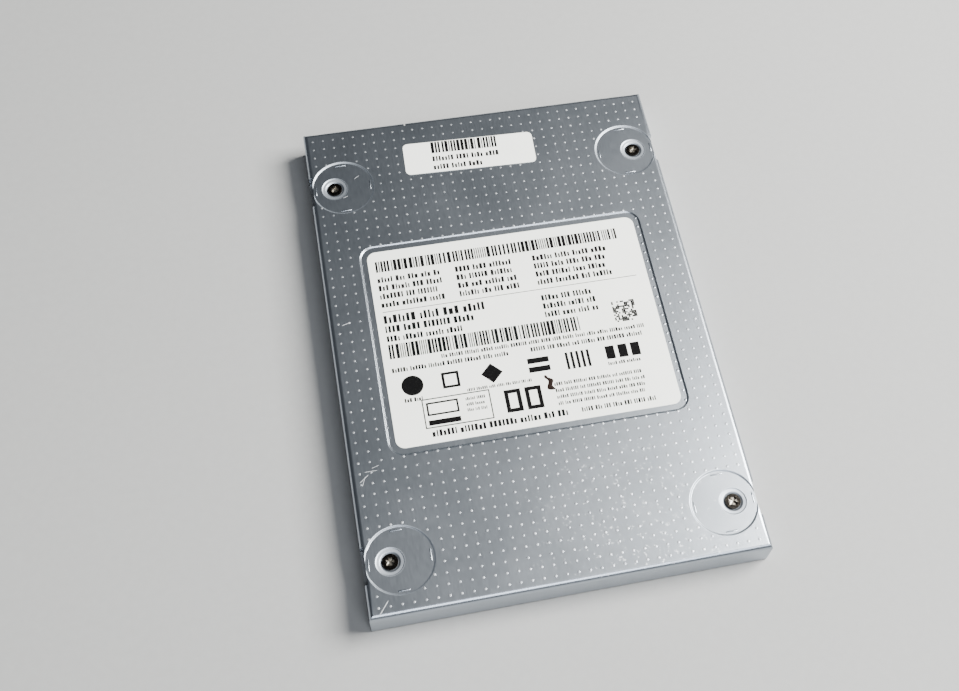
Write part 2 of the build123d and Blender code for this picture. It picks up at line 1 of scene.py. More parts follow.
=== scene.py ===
# %% [markdown]
# # A 2.5 inch solid state drive, dressed for its portrait
# The drive's shapes come from a CAD model, in metres, with the origin in the middle of its underside,
# +Y towards the plug and +Z up. This lesson keeps those shapes and adds what a camera sees: rolled sheet
# metal with a grid of pips, printed labels, screws, and the finish of every other piece.

# %% Load the drive
import math
import random

import bpy
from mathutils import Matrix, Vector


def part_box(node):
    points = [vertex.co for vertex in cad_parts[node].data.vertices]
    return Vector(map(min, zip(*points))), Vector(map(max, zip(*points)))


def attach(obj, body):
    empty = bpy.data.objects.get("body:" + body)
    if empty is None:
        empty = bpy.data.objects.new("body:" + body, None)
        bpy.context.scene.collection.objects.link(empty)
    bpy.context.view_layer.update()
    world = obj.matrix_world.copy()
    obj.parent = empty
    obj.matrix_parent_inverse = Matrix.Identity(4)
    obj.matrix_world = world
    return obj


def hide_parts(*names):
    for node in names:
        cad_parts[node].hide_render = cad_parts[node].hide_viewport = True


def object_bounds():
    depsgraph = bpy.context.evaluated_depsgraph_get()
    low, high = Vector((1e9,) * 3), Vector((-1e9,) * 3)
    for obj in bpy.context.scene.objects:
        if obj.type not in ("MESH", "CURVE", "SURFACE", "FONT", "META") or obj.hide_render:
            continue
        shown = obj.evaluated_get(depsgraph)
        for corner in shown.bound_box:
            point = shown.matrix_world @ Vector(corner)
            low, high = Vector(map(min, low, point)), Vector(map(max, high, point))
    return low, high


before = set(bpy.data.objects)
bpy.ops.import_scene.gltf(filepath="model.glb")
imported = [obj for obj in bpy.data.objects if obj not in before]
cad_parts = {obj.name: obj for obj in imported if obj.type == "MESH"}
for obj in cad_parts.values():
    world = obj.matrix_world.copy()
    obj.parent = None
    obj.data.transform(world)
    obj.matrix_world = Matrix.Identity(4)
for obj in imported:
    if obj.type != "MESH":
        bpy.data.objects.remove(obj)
cad_box = [list(corner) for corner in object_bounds()]
print("CAD pieces:", len(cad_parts), "box in metres:", cad_box)

# %% [markdown]
# ## Units
# Every size below is a real one in millimetres, because that is how the drive is drawn. Blender works in
# metres, so one small function turns lengths and places from one into the other.

# %% Millimetres to metres
MM = 0.001


def mm(*lengths):
    """Lengths in millimetres as a tuple in metres."""
    return tuple(length * MM for length in lengths)


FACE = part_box("top_cover")[1].z / MM
print("the cover's face lies at", round(FACE, 3), "mm")

# %% [markdown]
# ## Camera
# The photograph looks down from above the near left and is a crop, so its lens axis isn't in the middle
# of the frame. A camera could be turned by eye until the picture fits. Solving its place and turn from the
# even grid of pips and the drive's known width and length is surer, and gave the numbers below. A crop is
# a camera shift in Blender, given as a share of the frame's width.

# %% Camera
FRAME_PIXELS = (959, 691)
LENS_PIXELS = 1287.9
LENS_AXIS_PIXEL = (550.6, 303.05)
CAMERA_PLACE = (-29.34, -110.09, 218.51)
CAMERA_TURN = (29.228, -3.339, -11.550)
NEAREST_SEEN = 10

bpy.ops.object.camera_add(
    location=mm(*CAMERA_PLACE), rotation=[math.radians(angle) for angle in CAMERA_TURN]
)
camera = bpy.context.object
camera.name = "photo_camera"
camera.data.lens = camera.data.sensor_width * LENS_PIXELS / FRAME_PIXELS[0]
camera.data.shift_x = (FRAME_PIXELS[0] / 2 - LENS_AXIS_PIXEL[0]) / FRAME_PIXELS[0]
camera.data.shift_y = (LENS_AXIS_PIXEL[1] - FRAME_PIXELS[1] / 2) / FRAME_PIXELS[0]
camera.data.clip_start = NEAREST_SEEN * MM
bpy.context.scene.camera = camera
print("lens", round(camera.data.lens, 2), "mm")
print("shift", round(camera.data.shift_x, 4), round(camera.data.shift_y, 4))

# %% [markdown]
# ## Colours and nodes
# A colour picked from a screen is an sRGB hex value, while shaders add light, which is linear. One
# function converts it. A second one adds a shader node with its settings and links, so a material reads
# as a short list, and a third starts a material from the numbers that are the same all over it.

# %% Colour and node helpers
def colour(hex_code):
    """An sRGB hex colour as linear red, green, blue and alpha."""
    shares = [int(hex_code[i:i + 2], 16) / 255 for i in (0, 2, 4)]
    return [s / 12.92 if s <= 0.04045 else ((s + 0.055) / 1.055) ** 2.4 for s in shares] + [1.0]


def add(tree, kind, inputs=None, **settings):
    """Adds a node with its settings. Each input is a value, or the socket that feeds it."""
    node = tree.nodes.new("ShaderNode" + kind)
    for name, value in settings.items():
        setattr(node, name, value)
    for socket, value in (inputs or {}).items():
        if isinstance(value, bpy.types.NodeSocket):
            tree.links.new(value, node.inputs[socket])
        else:
            node.inputs[socket].default_value = value
    return node


def start_material(name, constants):
    """A new material: itself, its node tree, its shader and its Object coordinates."""
    material = bpy.data.materials.new(name)
    material.use_nodes = True
    tree = material.node_tree
    shader = tree.nodes["Principled BSDF"]
    for socket, value in constants.items():
        shader.inputs[socket].default_value = value
    return material, tree, shader, add(tree, "TexCoord").outputs["Object"]


def per_mm(size):
    """The scale of a pattern whose features are this many millimetres across."""
    return 1 / (size * MM)


print("middle grey 808080 is", round(colour("808080")[0], 3), "in linear light")

# %% [markdown]
# ## Floor
# A plain pale floor shows the drive without distracting from it. It is matt backdrop paper: pressed pulp
# that scatters light evenly, so it takes the drive's shadow but no mirror image. A plane is all that it
# needs. Real fibres are too fine to show, so they are drawn coarser, as a faint noise.

# %% Floor
FLOOR_SIDE = 3000
FLOOR_GAP = 0.02
FIBRE = 1.5
PAPER_TONES = ("979898", "9E9F9F")

bpy.ops.object.select_all(action="DESELECT")
bpy.ops.mesh.primitive_plane_add(size=FLOOR_SIDE * MM, location=mm(0, 0, -FLOOR_GAP))
floor = bpy.context.object
floor.name = "studio_floor"
paper, tree, shader, place = start_material("matt backdrop paper", {"Roughness": 0.9})
fibres = add(tree, "TexNoise", {"Vector": place, "Scale": per_mm(FIBRE), "Detail": 4.0}).outputs[0]
paper_tones = {0: fibres, 6: colour(PAPER_TONES[0]), 7: colour(PAPER_TONES[1])}
pulp = add(tree, "Mix", paper_tones, data_type="RGBA").outputs[2]
tree.links.new(pulp, shader.inputs["Base Color"])
floor.data.materials.append(paper)
print("floor", FLOOR_SIDE, "mm square")

# %% [markdown]
# ## Light
# In the photograph the main light stands on the right, nearly fifty degrees up, so the metal is dark at
# the far left, runs to near white at the near right, and the drive's shadow falls to the left. A point of
# light would leave hard spots on metal, so this is a soft box: a square area light, whose wide reflection
# fades gently. A weaker one behind the camera lights the near bend, and a dim even sky fills the shadows.

# %% Light
LIGHT_DISTANCE = 620
KEY_SIDE = 360
KEY_DIRECTION = (0.675, 0.041, 0.736)
KEY_WATTS = 18.0
KEY_TINT = "FFFDF8"
FILL_SIDE = 320
FILL_DIRECTION = (0.08, -0.64, 0.76)
FILL_WATTS = 2.5
FILL_TINT = "F4F8FF"
SKY_STRENGTH = 0.09
SKY_TINT = "DCE6F2"


def soft_box(name, direction, side, watts, tint):
    """A square area light in the given direction that faces the drive."""
    bpy.ops.object.light_add(type="AREA", location=[share * LIGHT_DISTANCE * MM for share in direction])
    lamp = bpy.context.object
    lamp.name = name
    lamp.rotation_euler = lamp.location.to_track_quat("Z", "Y").to_euler()
    lamp.data.size = side * MM
    lamp.data.energy = watts
    lamp.data.color = colour(tint)[:3]


soft_box("key_box", KEY_DIRECTION, KEY_SIDE, KEY_WATTS, KEY_TINT)
soft_box("fill_box", FILL_DIRECTION, FILL_SIDE, FILL_WATTS, FILL_TINT)

sky = bpy.data.worlds.new("even_sky")
sky.use_nodes = True
sky.node_tree.nodes["Background"].inputs["Color"].default_value = colour(SKY_TINT)
sky.node_tree.nodes["Background"].inputs["Strength"].default_value = SKY_STRENGTH
bpy.context.scene.world = sky
print("soft boxes of", KEY_WATTS, "and", FILL_WATTS, "watts")

# %% [markdown]
# ## Working on a piece
# Blender's operators act on whatever is selected. So each piece starts with nothing selected, and faces or
# points are picked in code by where they are. Doing that in three small functions saves repeating it.

# %% Select, modify and pick
def alone(piece):
    """Makes a piece the only selected one, and the active one."""
    bpy.ops.object.select_all(action="DESELECT")
    piece.select_set(True)
    bpy.context.view_layer.objects.active = piece


def apply(piece, kind, **settings):
    """Adds a modifier with its settings to a piece and applies it."""
    alone(piece)
    modifier = piece.modifiers.new(kind.lower(), kind)
    for name, value in settings.items():
        setattr(modifier, name, value)
    bpy.ops.object.modifier_apply(modifier=modifier.name)


def pick(piece, kind, test):
    """Opens edit mode with only the faces or points whose place in mm and normal pass the test."""
    alone(piece)
    bpy.ops.object.mode_set(mode="EDIT")
    bpy.ops.mesh.select_mode(type=kind)
    bpy.ops.mesh.select_all(action="DESELECT")
    bpy.ops.object.mode_set(mode="OBJECT")
    if kind == "FACE":
        for face in piece.data.polygons:
            face.select = test(face.center / MM, face.normal)
    else:
        for point in piece.data.vertices:
            point.select = test(point.co / MM, point.normal)
    bpy.ops.object.mode_set(mode="EDIT")


print("helpers:", ", ".join(helper.__name__ for helper in (alone, apply, pick)))

# %% [markdown]
# A piece with round edges is shaded smooth across them, with weighted normals that keep its large flat
# faces flat. Every piece then gets its name and material, and its place is baked into its mesh, so that
# the object sits at the origin as the CAD pieces do.

# %% Smooth and finish
def smooth(piece, angle):
    """Shades a piece smooth across edges that turn by less than the angle in degrees."""
    alone(piece)
    bpy.ops.mesh.customdata_custom_splitnormals_clear()
    bpy.ops.object.shade_smooth_by_angle(angle=math.radians(angle))
    apply(piece, "WEIGHTED_NORMAL", keep_sharp=True)


def finish(piece, name, material, slot):
    """Names a piece, gives it one material, bakes its place into its mesh and fixes it to the drive."""
    alone(piece)
    piece.name = name
    bpy.ops.object.transform_apply(location=True, rotation=True, scale=True)
    piece.data.materials.clear()
    piece.data.materials.append(material)
    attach(piece, "root")
    print(name, "has", len(piece.data.polygons), "faces")


print("helpers:", ", ".join(helper.__name__ for helper in (smooth, finish)))

# %% [markdown]
# ## Copies of CAD pieces
# A CAD piece keeps its shape. Where it needs finer edges or shading, a copy stands for it. The copy is
# welded first, because its triangles come loose. Triangles that lie in one plane are merged, its stored
# normals are forgotten, and a narrow bevel breaks its sharp edges, so that they catch the light.

# %% Welded copies
WELD = 0.0005
FLAT_TURN = 0.5
SHARP_TURN = 50


def welded_copy(node_name, angle, edge=0.0):
    """A welded copy of a CAD piece, with its sharp edges broken by edge millimetres, that stands for it."""
    piece = bpy.data.objects.new(node_name + "_dressed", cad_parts[node_name].data.copy())
    bpy.context.scene.collection.objects.link(piece)
    alone(piece)
    bpy.ops.object.mode_set(mode="EDIT")
    bpy.ops.mesh.select_all(action="SELECT")
    bpy.ops.mesh.remove_doubles(threshold=WELD * MM)
    bpy.ops.mesh.dissolve_limited(angle_limit=math.radians(FLAT_TURN))
    bpy.ops.object.mode_set(mode="OBJECT")
    if edge:
        apply(
            piece, "BEVEL", width=edge * MM, segments=2,
            limit_method="ANGLE", angle_limit=math.radians(SHARP_TURN),
        )
    smooth(piece, angle)
    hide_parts(node_name)
    return piece


print("edges that turn by more than", SHARP_TURN, "degrees are broken")

# %% [markdown]
# ## Pressed aluminium
# The cover is a half millimetre sheet of rolled aluminium, pressed and folded. Rolling leaves a fine
# grain along the drive that spreads reflections, so the metal looks satin and grey. A picture of metal
# could be wrapped round it, but noise nodes need no seams and stay sharp close up. The real grain is too
# fine to show, so it is drawn coarser, as a noise stretched along Y. Wide patches vary it a little.

# %% Rolling grain
GRAIN_WIDTH = 0.3
GRAIN_LENGTH = 1.6
PATCH_SIZE = 11.0

aluminium, tree, shader, place = start_material("pressed rolled aluminium", {"Metallic": 1.0})
stretched = add(tree, "Mapping", {"Vector": place, "Scale": (per_mm(GRAIN_WIDTH), per_mm(GRAIN_LENGTH), 1)})
grain = add(tree, "TexNoise", {"Vector": stretched.outputs[0], "Scale": 1.0, "Detail": 3.0}).outputs[0]
patches = add(tree, "TexNoise", {"Vector": place, "Scale": per_mm(PATCH_SIZE), "Detail": 3.0}).outputs[0]
print("grain", GRAIN_WIDTH, "mm wide and", GRAIN_LENGTH, "mm long")

# %% [markdown]
# The roll that embossed the pips frosted their tops, and since then some have worn brighter than others.
# A mask could be painted, but the height above the cover's face already tells the pips from the sheet, and
# a noise finer than their pitch chooses the worn ones. The few pips in the label recess lie lower and stay
# plain.

# %% Frosted pips
FROST_HEIGHTS = (0.004, 0.012)
WEAR_SIZE = 1.3
WEAR_SPAN = (0.35, 0.65)

height = add(tree, "SeparateXYZ", {"Vector": place}).outputs["Z"]
frost_low, frost_high = mm(FACE + FROST_HEIGHTS[0], FACE + FROST_HEIGHTS[1])
frosted = add(tree, "MapRange", {"Value": height, "From Min": frost_low, "From Max": frost_high}).outputs[0]
wear = add(tree, "TexNoise", {"Vector": place, "Scale": per_mm(WEAR_SIZE), "Detail": 1.0}).outputs[0]
worn = add(tree, "MapRange", {"Value": wear, "From Min": WEAR_SPAN[0], "From Max": WEAR_SPAN[1]}).outputs[0]
print("frost starts", FROST_HEIGHTS[0], "mm above the face")

# %% [markdown]
# Handling has scuffed the sheet at its near right. Only the peaks of a fine noise are kept, which gives
# short broken rubs, and the distance from one point keeps them where the photograph has them.

# %% Scuffs
SCUFF_SIZE = 0.6
SCUFF_PEAKS = (0.62, 0.72)
SCUFF_MIDDLE = (12.0, -43.0)
SCUFF_REACH = (8.0, 24.0)

rubs = add(tree, "TexNoise", {"Vector": place, "Scale": per_mm(SCUFF_SIZE), "Detail": 3.0}).outputs[0]
peak_span = {"Value": rubs, "From Min": SCUFF_PEAKS[0], "From Max": SCUFF_PEAKS[1]}
peaks = add(tree, "MapRange", peak_span).outputs[0]
scuff_middle = mm(*SCUFF_MIDDLE, FACE)
scuff_near, scuff_far = mm(*SCUFF_REACH)
away = add(tree, "VectorMath", {0: place, 1: scuff_middle}, operation="DISTANCE").outputs["Value"]
handled = add(tree, "MapRange", {"Value": away, "From Min": scuff_far, "From Max": scuff_near}).outputs[0]
scuffs = add(tree, "Math", {0: peaks, 1: handled}, operation="MULTIPLY").outputs[0]
print("scuffs fade out", SCUFF_REACH[1], "mm from", SCUFF_MIDDLE)

# %% [markdown]
# Where a punch drew the sheet, at the rim of each round screw pad and in the dimple round each screw, the
# stretched grains of the metal roughen its surface, so it glows softly instead of glinting. All four
# pads are alike, so folding the coordinates at the middle of the drive leaves one distance to measure.

# %% Drawn metal round the screws
PAD_ROWS = (36.0, -40.6)
PAD_X = 28.525
PAD_RADIUS = 6.1
SCREW_X = 30.175
DIMPLE_RADIUS = 2.5
PRESS_SLOPE = 0.25
DRAWN_FADE = 0.08


def corner_distance(tree, place, x):
    """The distance of a point from the nearest of the four upright lines at x and the pad rows."""
    rows_middle = (PAD_ROWS[0] + PAD_ROWS[1]) / 2
    corner = mm(x, (PAD_ROWS[0] - PAD_ROWS[1]) / 2, 0)
    centred = add(tree, "Mapping", {"Vector": place, "Location": mm(0, -rows_middle, 0), "Scale": (1, 1, 0)})
    folded = add(tree, "VectorMath", {0: centred.outputs[0]}, operation="ABSOLUTE").outputs[0]
    offset = add(tree, "VectorMath", {0: folded, 1: corner}, operation="SUBTRACT").outputs[0]
    return add(tree, "VectorMath", {0: offset}, operation="LENGTH").outputs["Value"]


slope_middle, slope_half, slope_end = mm(
    PAD_RADIUS - PRESS_SLOPE / 2, PRESS_SLOPE / 2, PRESS_SLOPE / 2 + DRAWN_FADE
)
dimple_edge, dimple_end = mm(DIMPLE_RADIUS, DIMPLE_RADIUS + DRAWN_FADE)
from_pad = corner_distance(tree, place, PAD_X)
past_rim = add(tree, "Math", {0: from_pad, 1: slope_middle}, operation="SUBTRACT").outputs[0]
from_rim = add(tree, "Math", {0: past_rim}, operation="ABSOLUTE").outputs[0]
rim = add(tree, "MapRange", {"Value": from_rim, "From Min": slope_end, "From Max": slope_half}).outputs[0]
from_screw = corner_distance(tree, place, SCREW_X)
dimple_span = {"Value": from_screw, "From Min": dimple_end, "From Max": dimple_edge}
dimple = add(tree, "MapRange", dimple_span).outputs[0]
drawn = add(tree, "Math", {0: rim, 1: dimple}, operation="MAXIMUM").outputs[0]
print("drawn metal at pad rims of", PAD_RADIUS, "mm and in dimples of", DIMPLE_RADIUS, "mm radius")

# %% [markdown]
# A scratch is a thin straight line where the metal was torn. A Mapping node carries each one to the origin
# and turns it along X. There it is wherever X and Y are both small: at full strength over a share of its
# length and width, and fading from there. The largest of all of them is the mask. Each scratch is given by
# its two ends and its width.

# %% Scratches in the aluminium
SCRATCHES = (
    ((-31.3, -47.1), (-33.2, -49.5), 0.17),
    ((-32.6, 5.4), (-30.8, 5.9), 0.15),
    ((-33.4, -25.9), (-31.6, -24.5), 0.13),
    ((-32.4, -24.0), (-29.9, -24.0), 0.11),
    ((-33.0, -26.6), (-32.2, -24.7), 0.10),
    ((-31.0, -23.5), (-29.6, -23.1), 0.10),
    ((-26.2, 37.7), (-25.1, 38.5), 0.12),
    ((-28.9, 33.6), (-27.8, 34.0), 0.12),
)
FULL_LENGTH = 0.7
FULL_WIDTH = 0.4

scratches = None
for (x0, y0), (x1, y1), width in SCRATCHES:
    middle = mm((x0 + x1) / 2, (y0 + y1) / 2, 0)
    turn = (0, 0, math.atan2(y1 - y0, x1 - x0))
    half_long = math.hypot(x1 - x0, y1 - y0) / 2 * MM
    half_wide = width / 2 * MM
    carried = {"Vector": place, "Location": middle, "Rotation": turn}
    local = add(tree, "Mapping", carried, vector_type="TEXTURE").outputs[0]
    axes = add(tree, "SeparateXYZ", {"Vector": local})
    along = add(tree, "Math", {0: axes.outputs["X"]}, operation="ABSOLUTE").outputs[0]
    across = add(tree, "Math", {0: axes.outputs["Y"]}, operation="ABSOLUTE").outputs[0]
    long_span = {"Value": along, "From Min": half_long, "From Max": half_long * FULL_LENGTH}
    wide_span = {"Value": across, "From Min": half_wide, "From Max": half_wide * FULL_WIDTH}
    ends = add(tree, "MapRange", long_span).outputs[0]
    edge = add(tree, "MapRange", wide_span).outputs[0]
    line = add(tree, "Math", {0: ends, 1: edge}, operation="MULTIPLY").outputs[0]
    if scratches is None:
        scratches = line
    else:
        scratches = add(tree, "Math", {0: scratches, 1: line}, operation="MAXIMUM").outputs[0]
torn = add(tree, "Math", {0: scratches, 1: grain}, operation="MULTIPLY").outputs[0]
print("scratches:", len(SCRATCHES))

# %% [markdown]
# The masks now come together as layers, the way a painter would lay them: the sheet's two greys, the frost
# on the pips, the scuffs, and the scratches last, broken up by the grain.

# %% Colour of the aluminium
SHEET_TONES = ("A2AAB3", "B1B8C1")
FROST_TONES = ("8E9399", "B4B8BC")
SCUFF_TONE = "C6CACE"
SCRATCH_TONE = "F4F4F4"

sheet_tones = {0: patches, 6: colour(SHEET_TONES[0]), 7: colour(SHEET_TONES[1])}
sheet = add(tree, "Mix", sheet_tones, data_type="RGBA").outputs[2]
frost_tones = {0: worn, 6: colour(FROST_TONES[0]), 7: colour(FROST_TONES[1])}
frost = add(tree, "Mix", frost_tones, data_type="RGBA").outputs[2]
with_pips = add(tree, "Mix", {0: frosted, 6: sheet, 7: frost}, data_type="RGBA").outputs[2]
scuffed = add(tree, "Mix", {0: scuffs, 6: with_pips, 7: colour(SCUFF_TONE)}, data_type="RGBA").outputs[2]
scratched = add(tree, "Mix", {0: torn, 6: scuffed, 7: colour(SCRATCH_TONE)}, data_type="RGBA").outputs[2]
tree.links.new(scratched, shader.inputs["Base Color"])
print("the sheet's greys:", *SHEET_TONES)

# %% [markdown]
# Rolled sheet is satin, and each of the marks on it is rougher than the sheet, so each mask adds its share
# to the roughness. The grain and the scratches also tilt the surface a little, which a bump node does
# without any more faces.

# %% Roughness and relief of the aluminium
SATIN = (0.27, 0.34)
UNEVEN = 0.02
FROST_ROUGHER = 0.2
DRAWN_ROUGHER = 0.2
SCUFF_ROUGHER = 0.12
SCRATCH_ROUGHER = 0.35
SCRATCH_RELIEF = 2.0
GRAIN_DEPTH = 0.02
GRAIN_STRENGTH = 0.12

satin = add(tree, "MapRange", {"Value": grain, "To Min": SATIN[0], "To Max": SATIN[1]}).outputs[0]
uneven = add(tree, "MapRange", {"Value": patches, "To Min": -UNEVEN, "To Max": UNEVEN}).outputs[0]
rough = add(tree, "Math", {0: satin, 1: uneven}, operation="ADD").outputs[0]
for mask, rougher in (
    (frosted, FROST_ROUGHER), (drawn, DRAWN_ROUGHER), (scuffs, SCUFF_ROUGHER), (scratches, SCRATCH_ROUGHER),
):
    rough = add(tree, "Math", {0: mask, 1: rougher, 2: rough}, operation="MULTIPLY_ADD").outputs[0]
tree.links.new(rough, shader.inputs["Roughness"])
relief = add(tree, "Math", {0: torn, 1: SCRATCH_RELIEF, 2: grain}, operation="MULTIPLY_ADD").outputs[0]
bump = add(tree, "Bump", {"Strength": GRAIN_STRENGTH, "Distance": GRAIN_DEPTH * MM, "Height": relief})
tree.links.new(bump.outputs[0], shader.inputs["Normal"])
print("aluminium nodes:", len(tree.nodes))

# %% [markdown]
# ## Cover
# The cover's form is all in the CAD sheet: skirts, bends, the label recess and four round screw pads.
# It could be modelled again from a plane, but a welded copy keeps the exact folds and only needs its
# shading made smooth, so that the bends catch one soft line of light.

# %% Cover
BEND_SMOOTH = 20

cover = welded_copy("top_cover", BEND_SMOOTH)
print("the cover copy has", len(cover.data.polygons), "faces")

# %% [markdown]
# ## Screw dimples
# A punch drew a round dimple for each screw: a small step at its rim, a seat that is almost flat, and a
# steeper wall beside the screw's head. The CAD dimple is a plain cone. It could be cut out and modelled
# again, but an inset is simpler: it gives the cone a ring of faces along each of its edges. Then the seat is
# lifted, most of all at its inner edge, and the foot of the wall is drawn in towards the head.

# %% Rings of a dimple
PAD_DEPTH = 0.2
DIMPLE_FOOT = 1.6
DIMPLE_DEPTH = 0.45
NEARNESS = 0.08

pad_face = FACE - PAD_DEPTH


def pick_ring(x, y, radius):
    """Picks the points of a dimple that lie on a circle round its axis."""
    def on_ring(place, normal):
        from_circle = abs(math.hypot(place.x - x, place.y - y) - radius)
        return from_circle < NEARNESS and pad_face - DIMPLE_DEPTH - NEARNESS < place.z < pad_face
    pick(cover, "VERT", on_ring)


print("dimples are", 2 * DIMPLE_RADIUS, "mm wide in pads that lie at", round(pad_face, 3), "mm")

# %% Shape the dimples
STEP_WIDTH = 0.2
SEAT_LIFT = 0.2
SEAT_MIDDLE = 2.05
WALL_FOOT = 1.44
CONE_NORMALS = (0.5, 0.95)

slant = math.hypot(DIMPLE_DEPTH, DIMPLE_RADIUS - DIMPLE_FOOT) / (DIMPLE_RADIUS - DIMPLE_FOOT)
draw_in = WALL_FOOT / DIMPLE_FOOT
for x in (-SCREW_X, SCREW_X):
    for y in PAD_ROWS:
        pick(cover, "FACE", lambda place, normal: math.hypot(place.x - x, place.y - y) < DIMPLE_RADIUS
             and CONE_NORMALS[0] < normal.z < CONE_NORMALS[1])
        bpy.ops.mesh.inset(thickness=STEP_WIDTH * slant * MM)
        bpy.ops.object.mode_set(mode="OBJECT")
        for radius, lift in ((DIMPLE_FOOT + STEP_WIDTH, SEAT_LIFT), (SEAT_MIDDLE, SEAT_LIFT / 2)):
            pick_ring(x, y, radius)
            bpy.ops.transform.translate(value=mm(0, 0, lift))
            bpy.ops.object.mode_set(mode="OBJECT")
        pick_ring(x, y, DIMPLE_FOOT)
        bpy.ops.transform.resize(value=(draw_in, draw_in, 1), center_override=mm(x, y, 0))
        bpy.ops.object.mode_set(mode="OBJECT")
print("with its dimples shaped the cover has", len(cover.data.polygons), "faces")

# %% [markdown]
# A press rounds every edge that it draws. A bevel on the whole cover would also cut into the outer bends,
# which are round already, so only the sharp edges of the rims and dimples get one: everything outside the
# flat top is hidden while Blender selects what is sharp.

# %% Rounded rims
FLAT_HALF = (33.9, 48.9)
RIM_ROUND = 0.07
RIM_TURN = 30
RIM_NORMAL = 0.3
RIM_SMOOTH = 35

pick(cover, "VERT", lambda place, normal: abs(place.x) < FLAT_HALF[0] and abs(place.y) < FLAT_HALF[1]
     and normal.z > RIM_NORMAL)
bpy.ops.mesh.hide(unselected=True)
bpy.ops.mesh.select_mode(type="EDGE")
bpy.ops.mesh.select_all(action="DESELECT")
bpy.ops.mesh.edges_select_sharp(sharpness=math.radians(RIM_TURN))
bpy.ops.mesh.bevel(offset=RIM_ROUND * MM, segments=3, clamp_overlap=False)
bpy.ops.mesh.reveal(select=False)
bpy.ops.object.mode_set(mode="OBJECT")
smooth(cover, RIM_SMOOTH)
finish(cover, "cover_sheet", aluminium, "pressed_aluminium")

# %% [markdown]
# ## Pips
# The sheet was embossed with low round pips on a two millimetre grid before it was pressed. A bump map
# could fake them, but they throw small highlights that only real domes give. One pip is a disc that is
# extruded upwards twice and narrowed each time, so it ends as a shallow dome.

# %% One pip
PIP_PITCH = 2.0
PIP_RADIUS = 0.28
PIP_ROOT = 0.005
PIP_RINGS = ((0.021, 0.68), (0.011, 0.45))
PIP_COLUMNS = 34
PIP_ROWS = 49
PIP_MIDDLE = (-0.2, -0.2)
PIP_SIDES = 10

first_x = PIP_MIDDLE[0] - (PIP_COLUMNS - 1) / 2 * PIP_PITCH
first_y = PIP_MIDDLE[1] - (PIP_ROWS - 1) / 2 * PIP_PITCH
bpy.ops.object.select_all(action="DESELECT")
bpy.ops.mesh.primitive_circle_add(
    vertices=PIP_SIDES, radius=PIP_RADIUS * MM, fill_type="NGON",
    location=mm(first_x, first_y, FACE - PIP_ROOT),
)
pips = bpy.context.object
bpy.ops.object.transform_apply(location=True)
bpy.ops.object.mode_set(mode="EDIT")
bpy.ops.mesh.select_all(action="SELECT")
for rise, narrowing in PIP_RINGS:
    bpy.ops.mesh.extrude_region_move(TRANSFORM_OT_translate={"value": mm(0, 0, rise)})
    bpy.ops.transform.resize(value=(narrowing, narrowing, 1))
bpy.ops.mesh.select_all(action="SELECT")
bpy.ops.mesh.normals_make_consistent(inside=False)
bpy.ops.object.mode_set(mode="OBJECT")
print("one pip has", len(pips.data.polygons), "faces")

# %% [markdown]
# Two Array modifiers lay out the grid, as one would by hand. Copying the pip in a loop would take far
# longer for more than a thousand of them.

# %% The grid of pips
step = PIP_PITCH * MM
for count, offset in ((PIP_COLUMNS, (step, 0, 0)), (PIP_ROWS, (0, step, 0))):
    apply(pips, "ARRAY", count=count, use_relative_offset=False, use_constant_offset=True,
          constant_offset_displace=offset)
print("pips in the whole grid:", PIP_COLUMNS * PIP_ROWS)

# %% [markdown]
# The screw pads were struck flat again, and there are none to see under the labels, so those pips go.
# Each face belongs to the grid place nearest to it, so a test on that place takes a whole pip or none.

# %% Grid places and the recess
RECESS_HALF = (27.5, 21.8)
RECESS_MIDDLE_Y = -0.25


def grid_place(middle):
    """The middle of the pip that a point belongs to."""
    column = round((middle.x - first_x) / PIP_PITCH)
    row = round((middle.y - first_y) / PIP_PITCH)
    return first_x + column * PIP_PITCH, first_y + row * PIP_PITCH


def in_recess(x, y, margin):
    """Whether a place lies inside the label recess, at least margin from its rim."""
    return abs(x) < RECESS_HALF[0] - margin and abs(y - RECESS_MIDDLE_Y) < RECESS_HALF[1] - margin


print("the recess is", 2 * RECESS_HALF[0], "by", 2 * RECESS_HALF[1], "mm")

# %% Which pips don't show
SMALL_LABEL_MIDDLE = (-2.7, 40.15)
SMALL_LABEL_SIZE = (26.2, 7.45)
SMALL_LABEL_TURN = -1.8

label_low, label_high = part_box("main_label")


def on_small_label(x, y):
    """Whether a pip at this place would touch the turned small label."""
    turn = math.radians(-SMALL_LABEL_TURN)
    dx = x - SMALL_LABEL_MIDDLE[0]
    dy = y - SMALL_LABEL_MIDDLE[1]
    along = dx * math.cos(turn) - dy * math.sin(turn)
    across = dx * math.sin(turn) + dy * math.cos(turn)
    return (abs(along) < SMALL_LABEL_SIZE[0] / 2 + PIP_RADIUS
            and abs(across) < SMALL_LABEL_SIZE[1] / 2 + PIP_RADIUS)


def struck_flat(middle, normal):
    """Whether the pip that a face belongs to doesn't show on the real cover."""
    x, y = grid_place(middle)
    on_pad = min(math.hypot(abs(x) - PAD_X, y - row) for row in PAD_ROWS) < PAD_RADIUS + PIP_RADIUS / 2
    on_label = abs(x) < label_high.x / MM + PIP_RADIUS and in_recess(x, y, 0)
    on_slope = in_recess(x, y, 0) and not in_recess(x, y, PRESS_SLOPE / 2)
    return on_pad or on_label or on_slope or on_small_label(x, y)


print("the main label is", round((label_high.x - label_low.x) / MM, 2), "mm wide")

# %% [markdown]
# Those beside the main label lie in its recess, so they are moved down to its floor.

# %% Clear the pads and labels
RECESS_DEPTH = 0.2
PIP_SMOOTH = 70

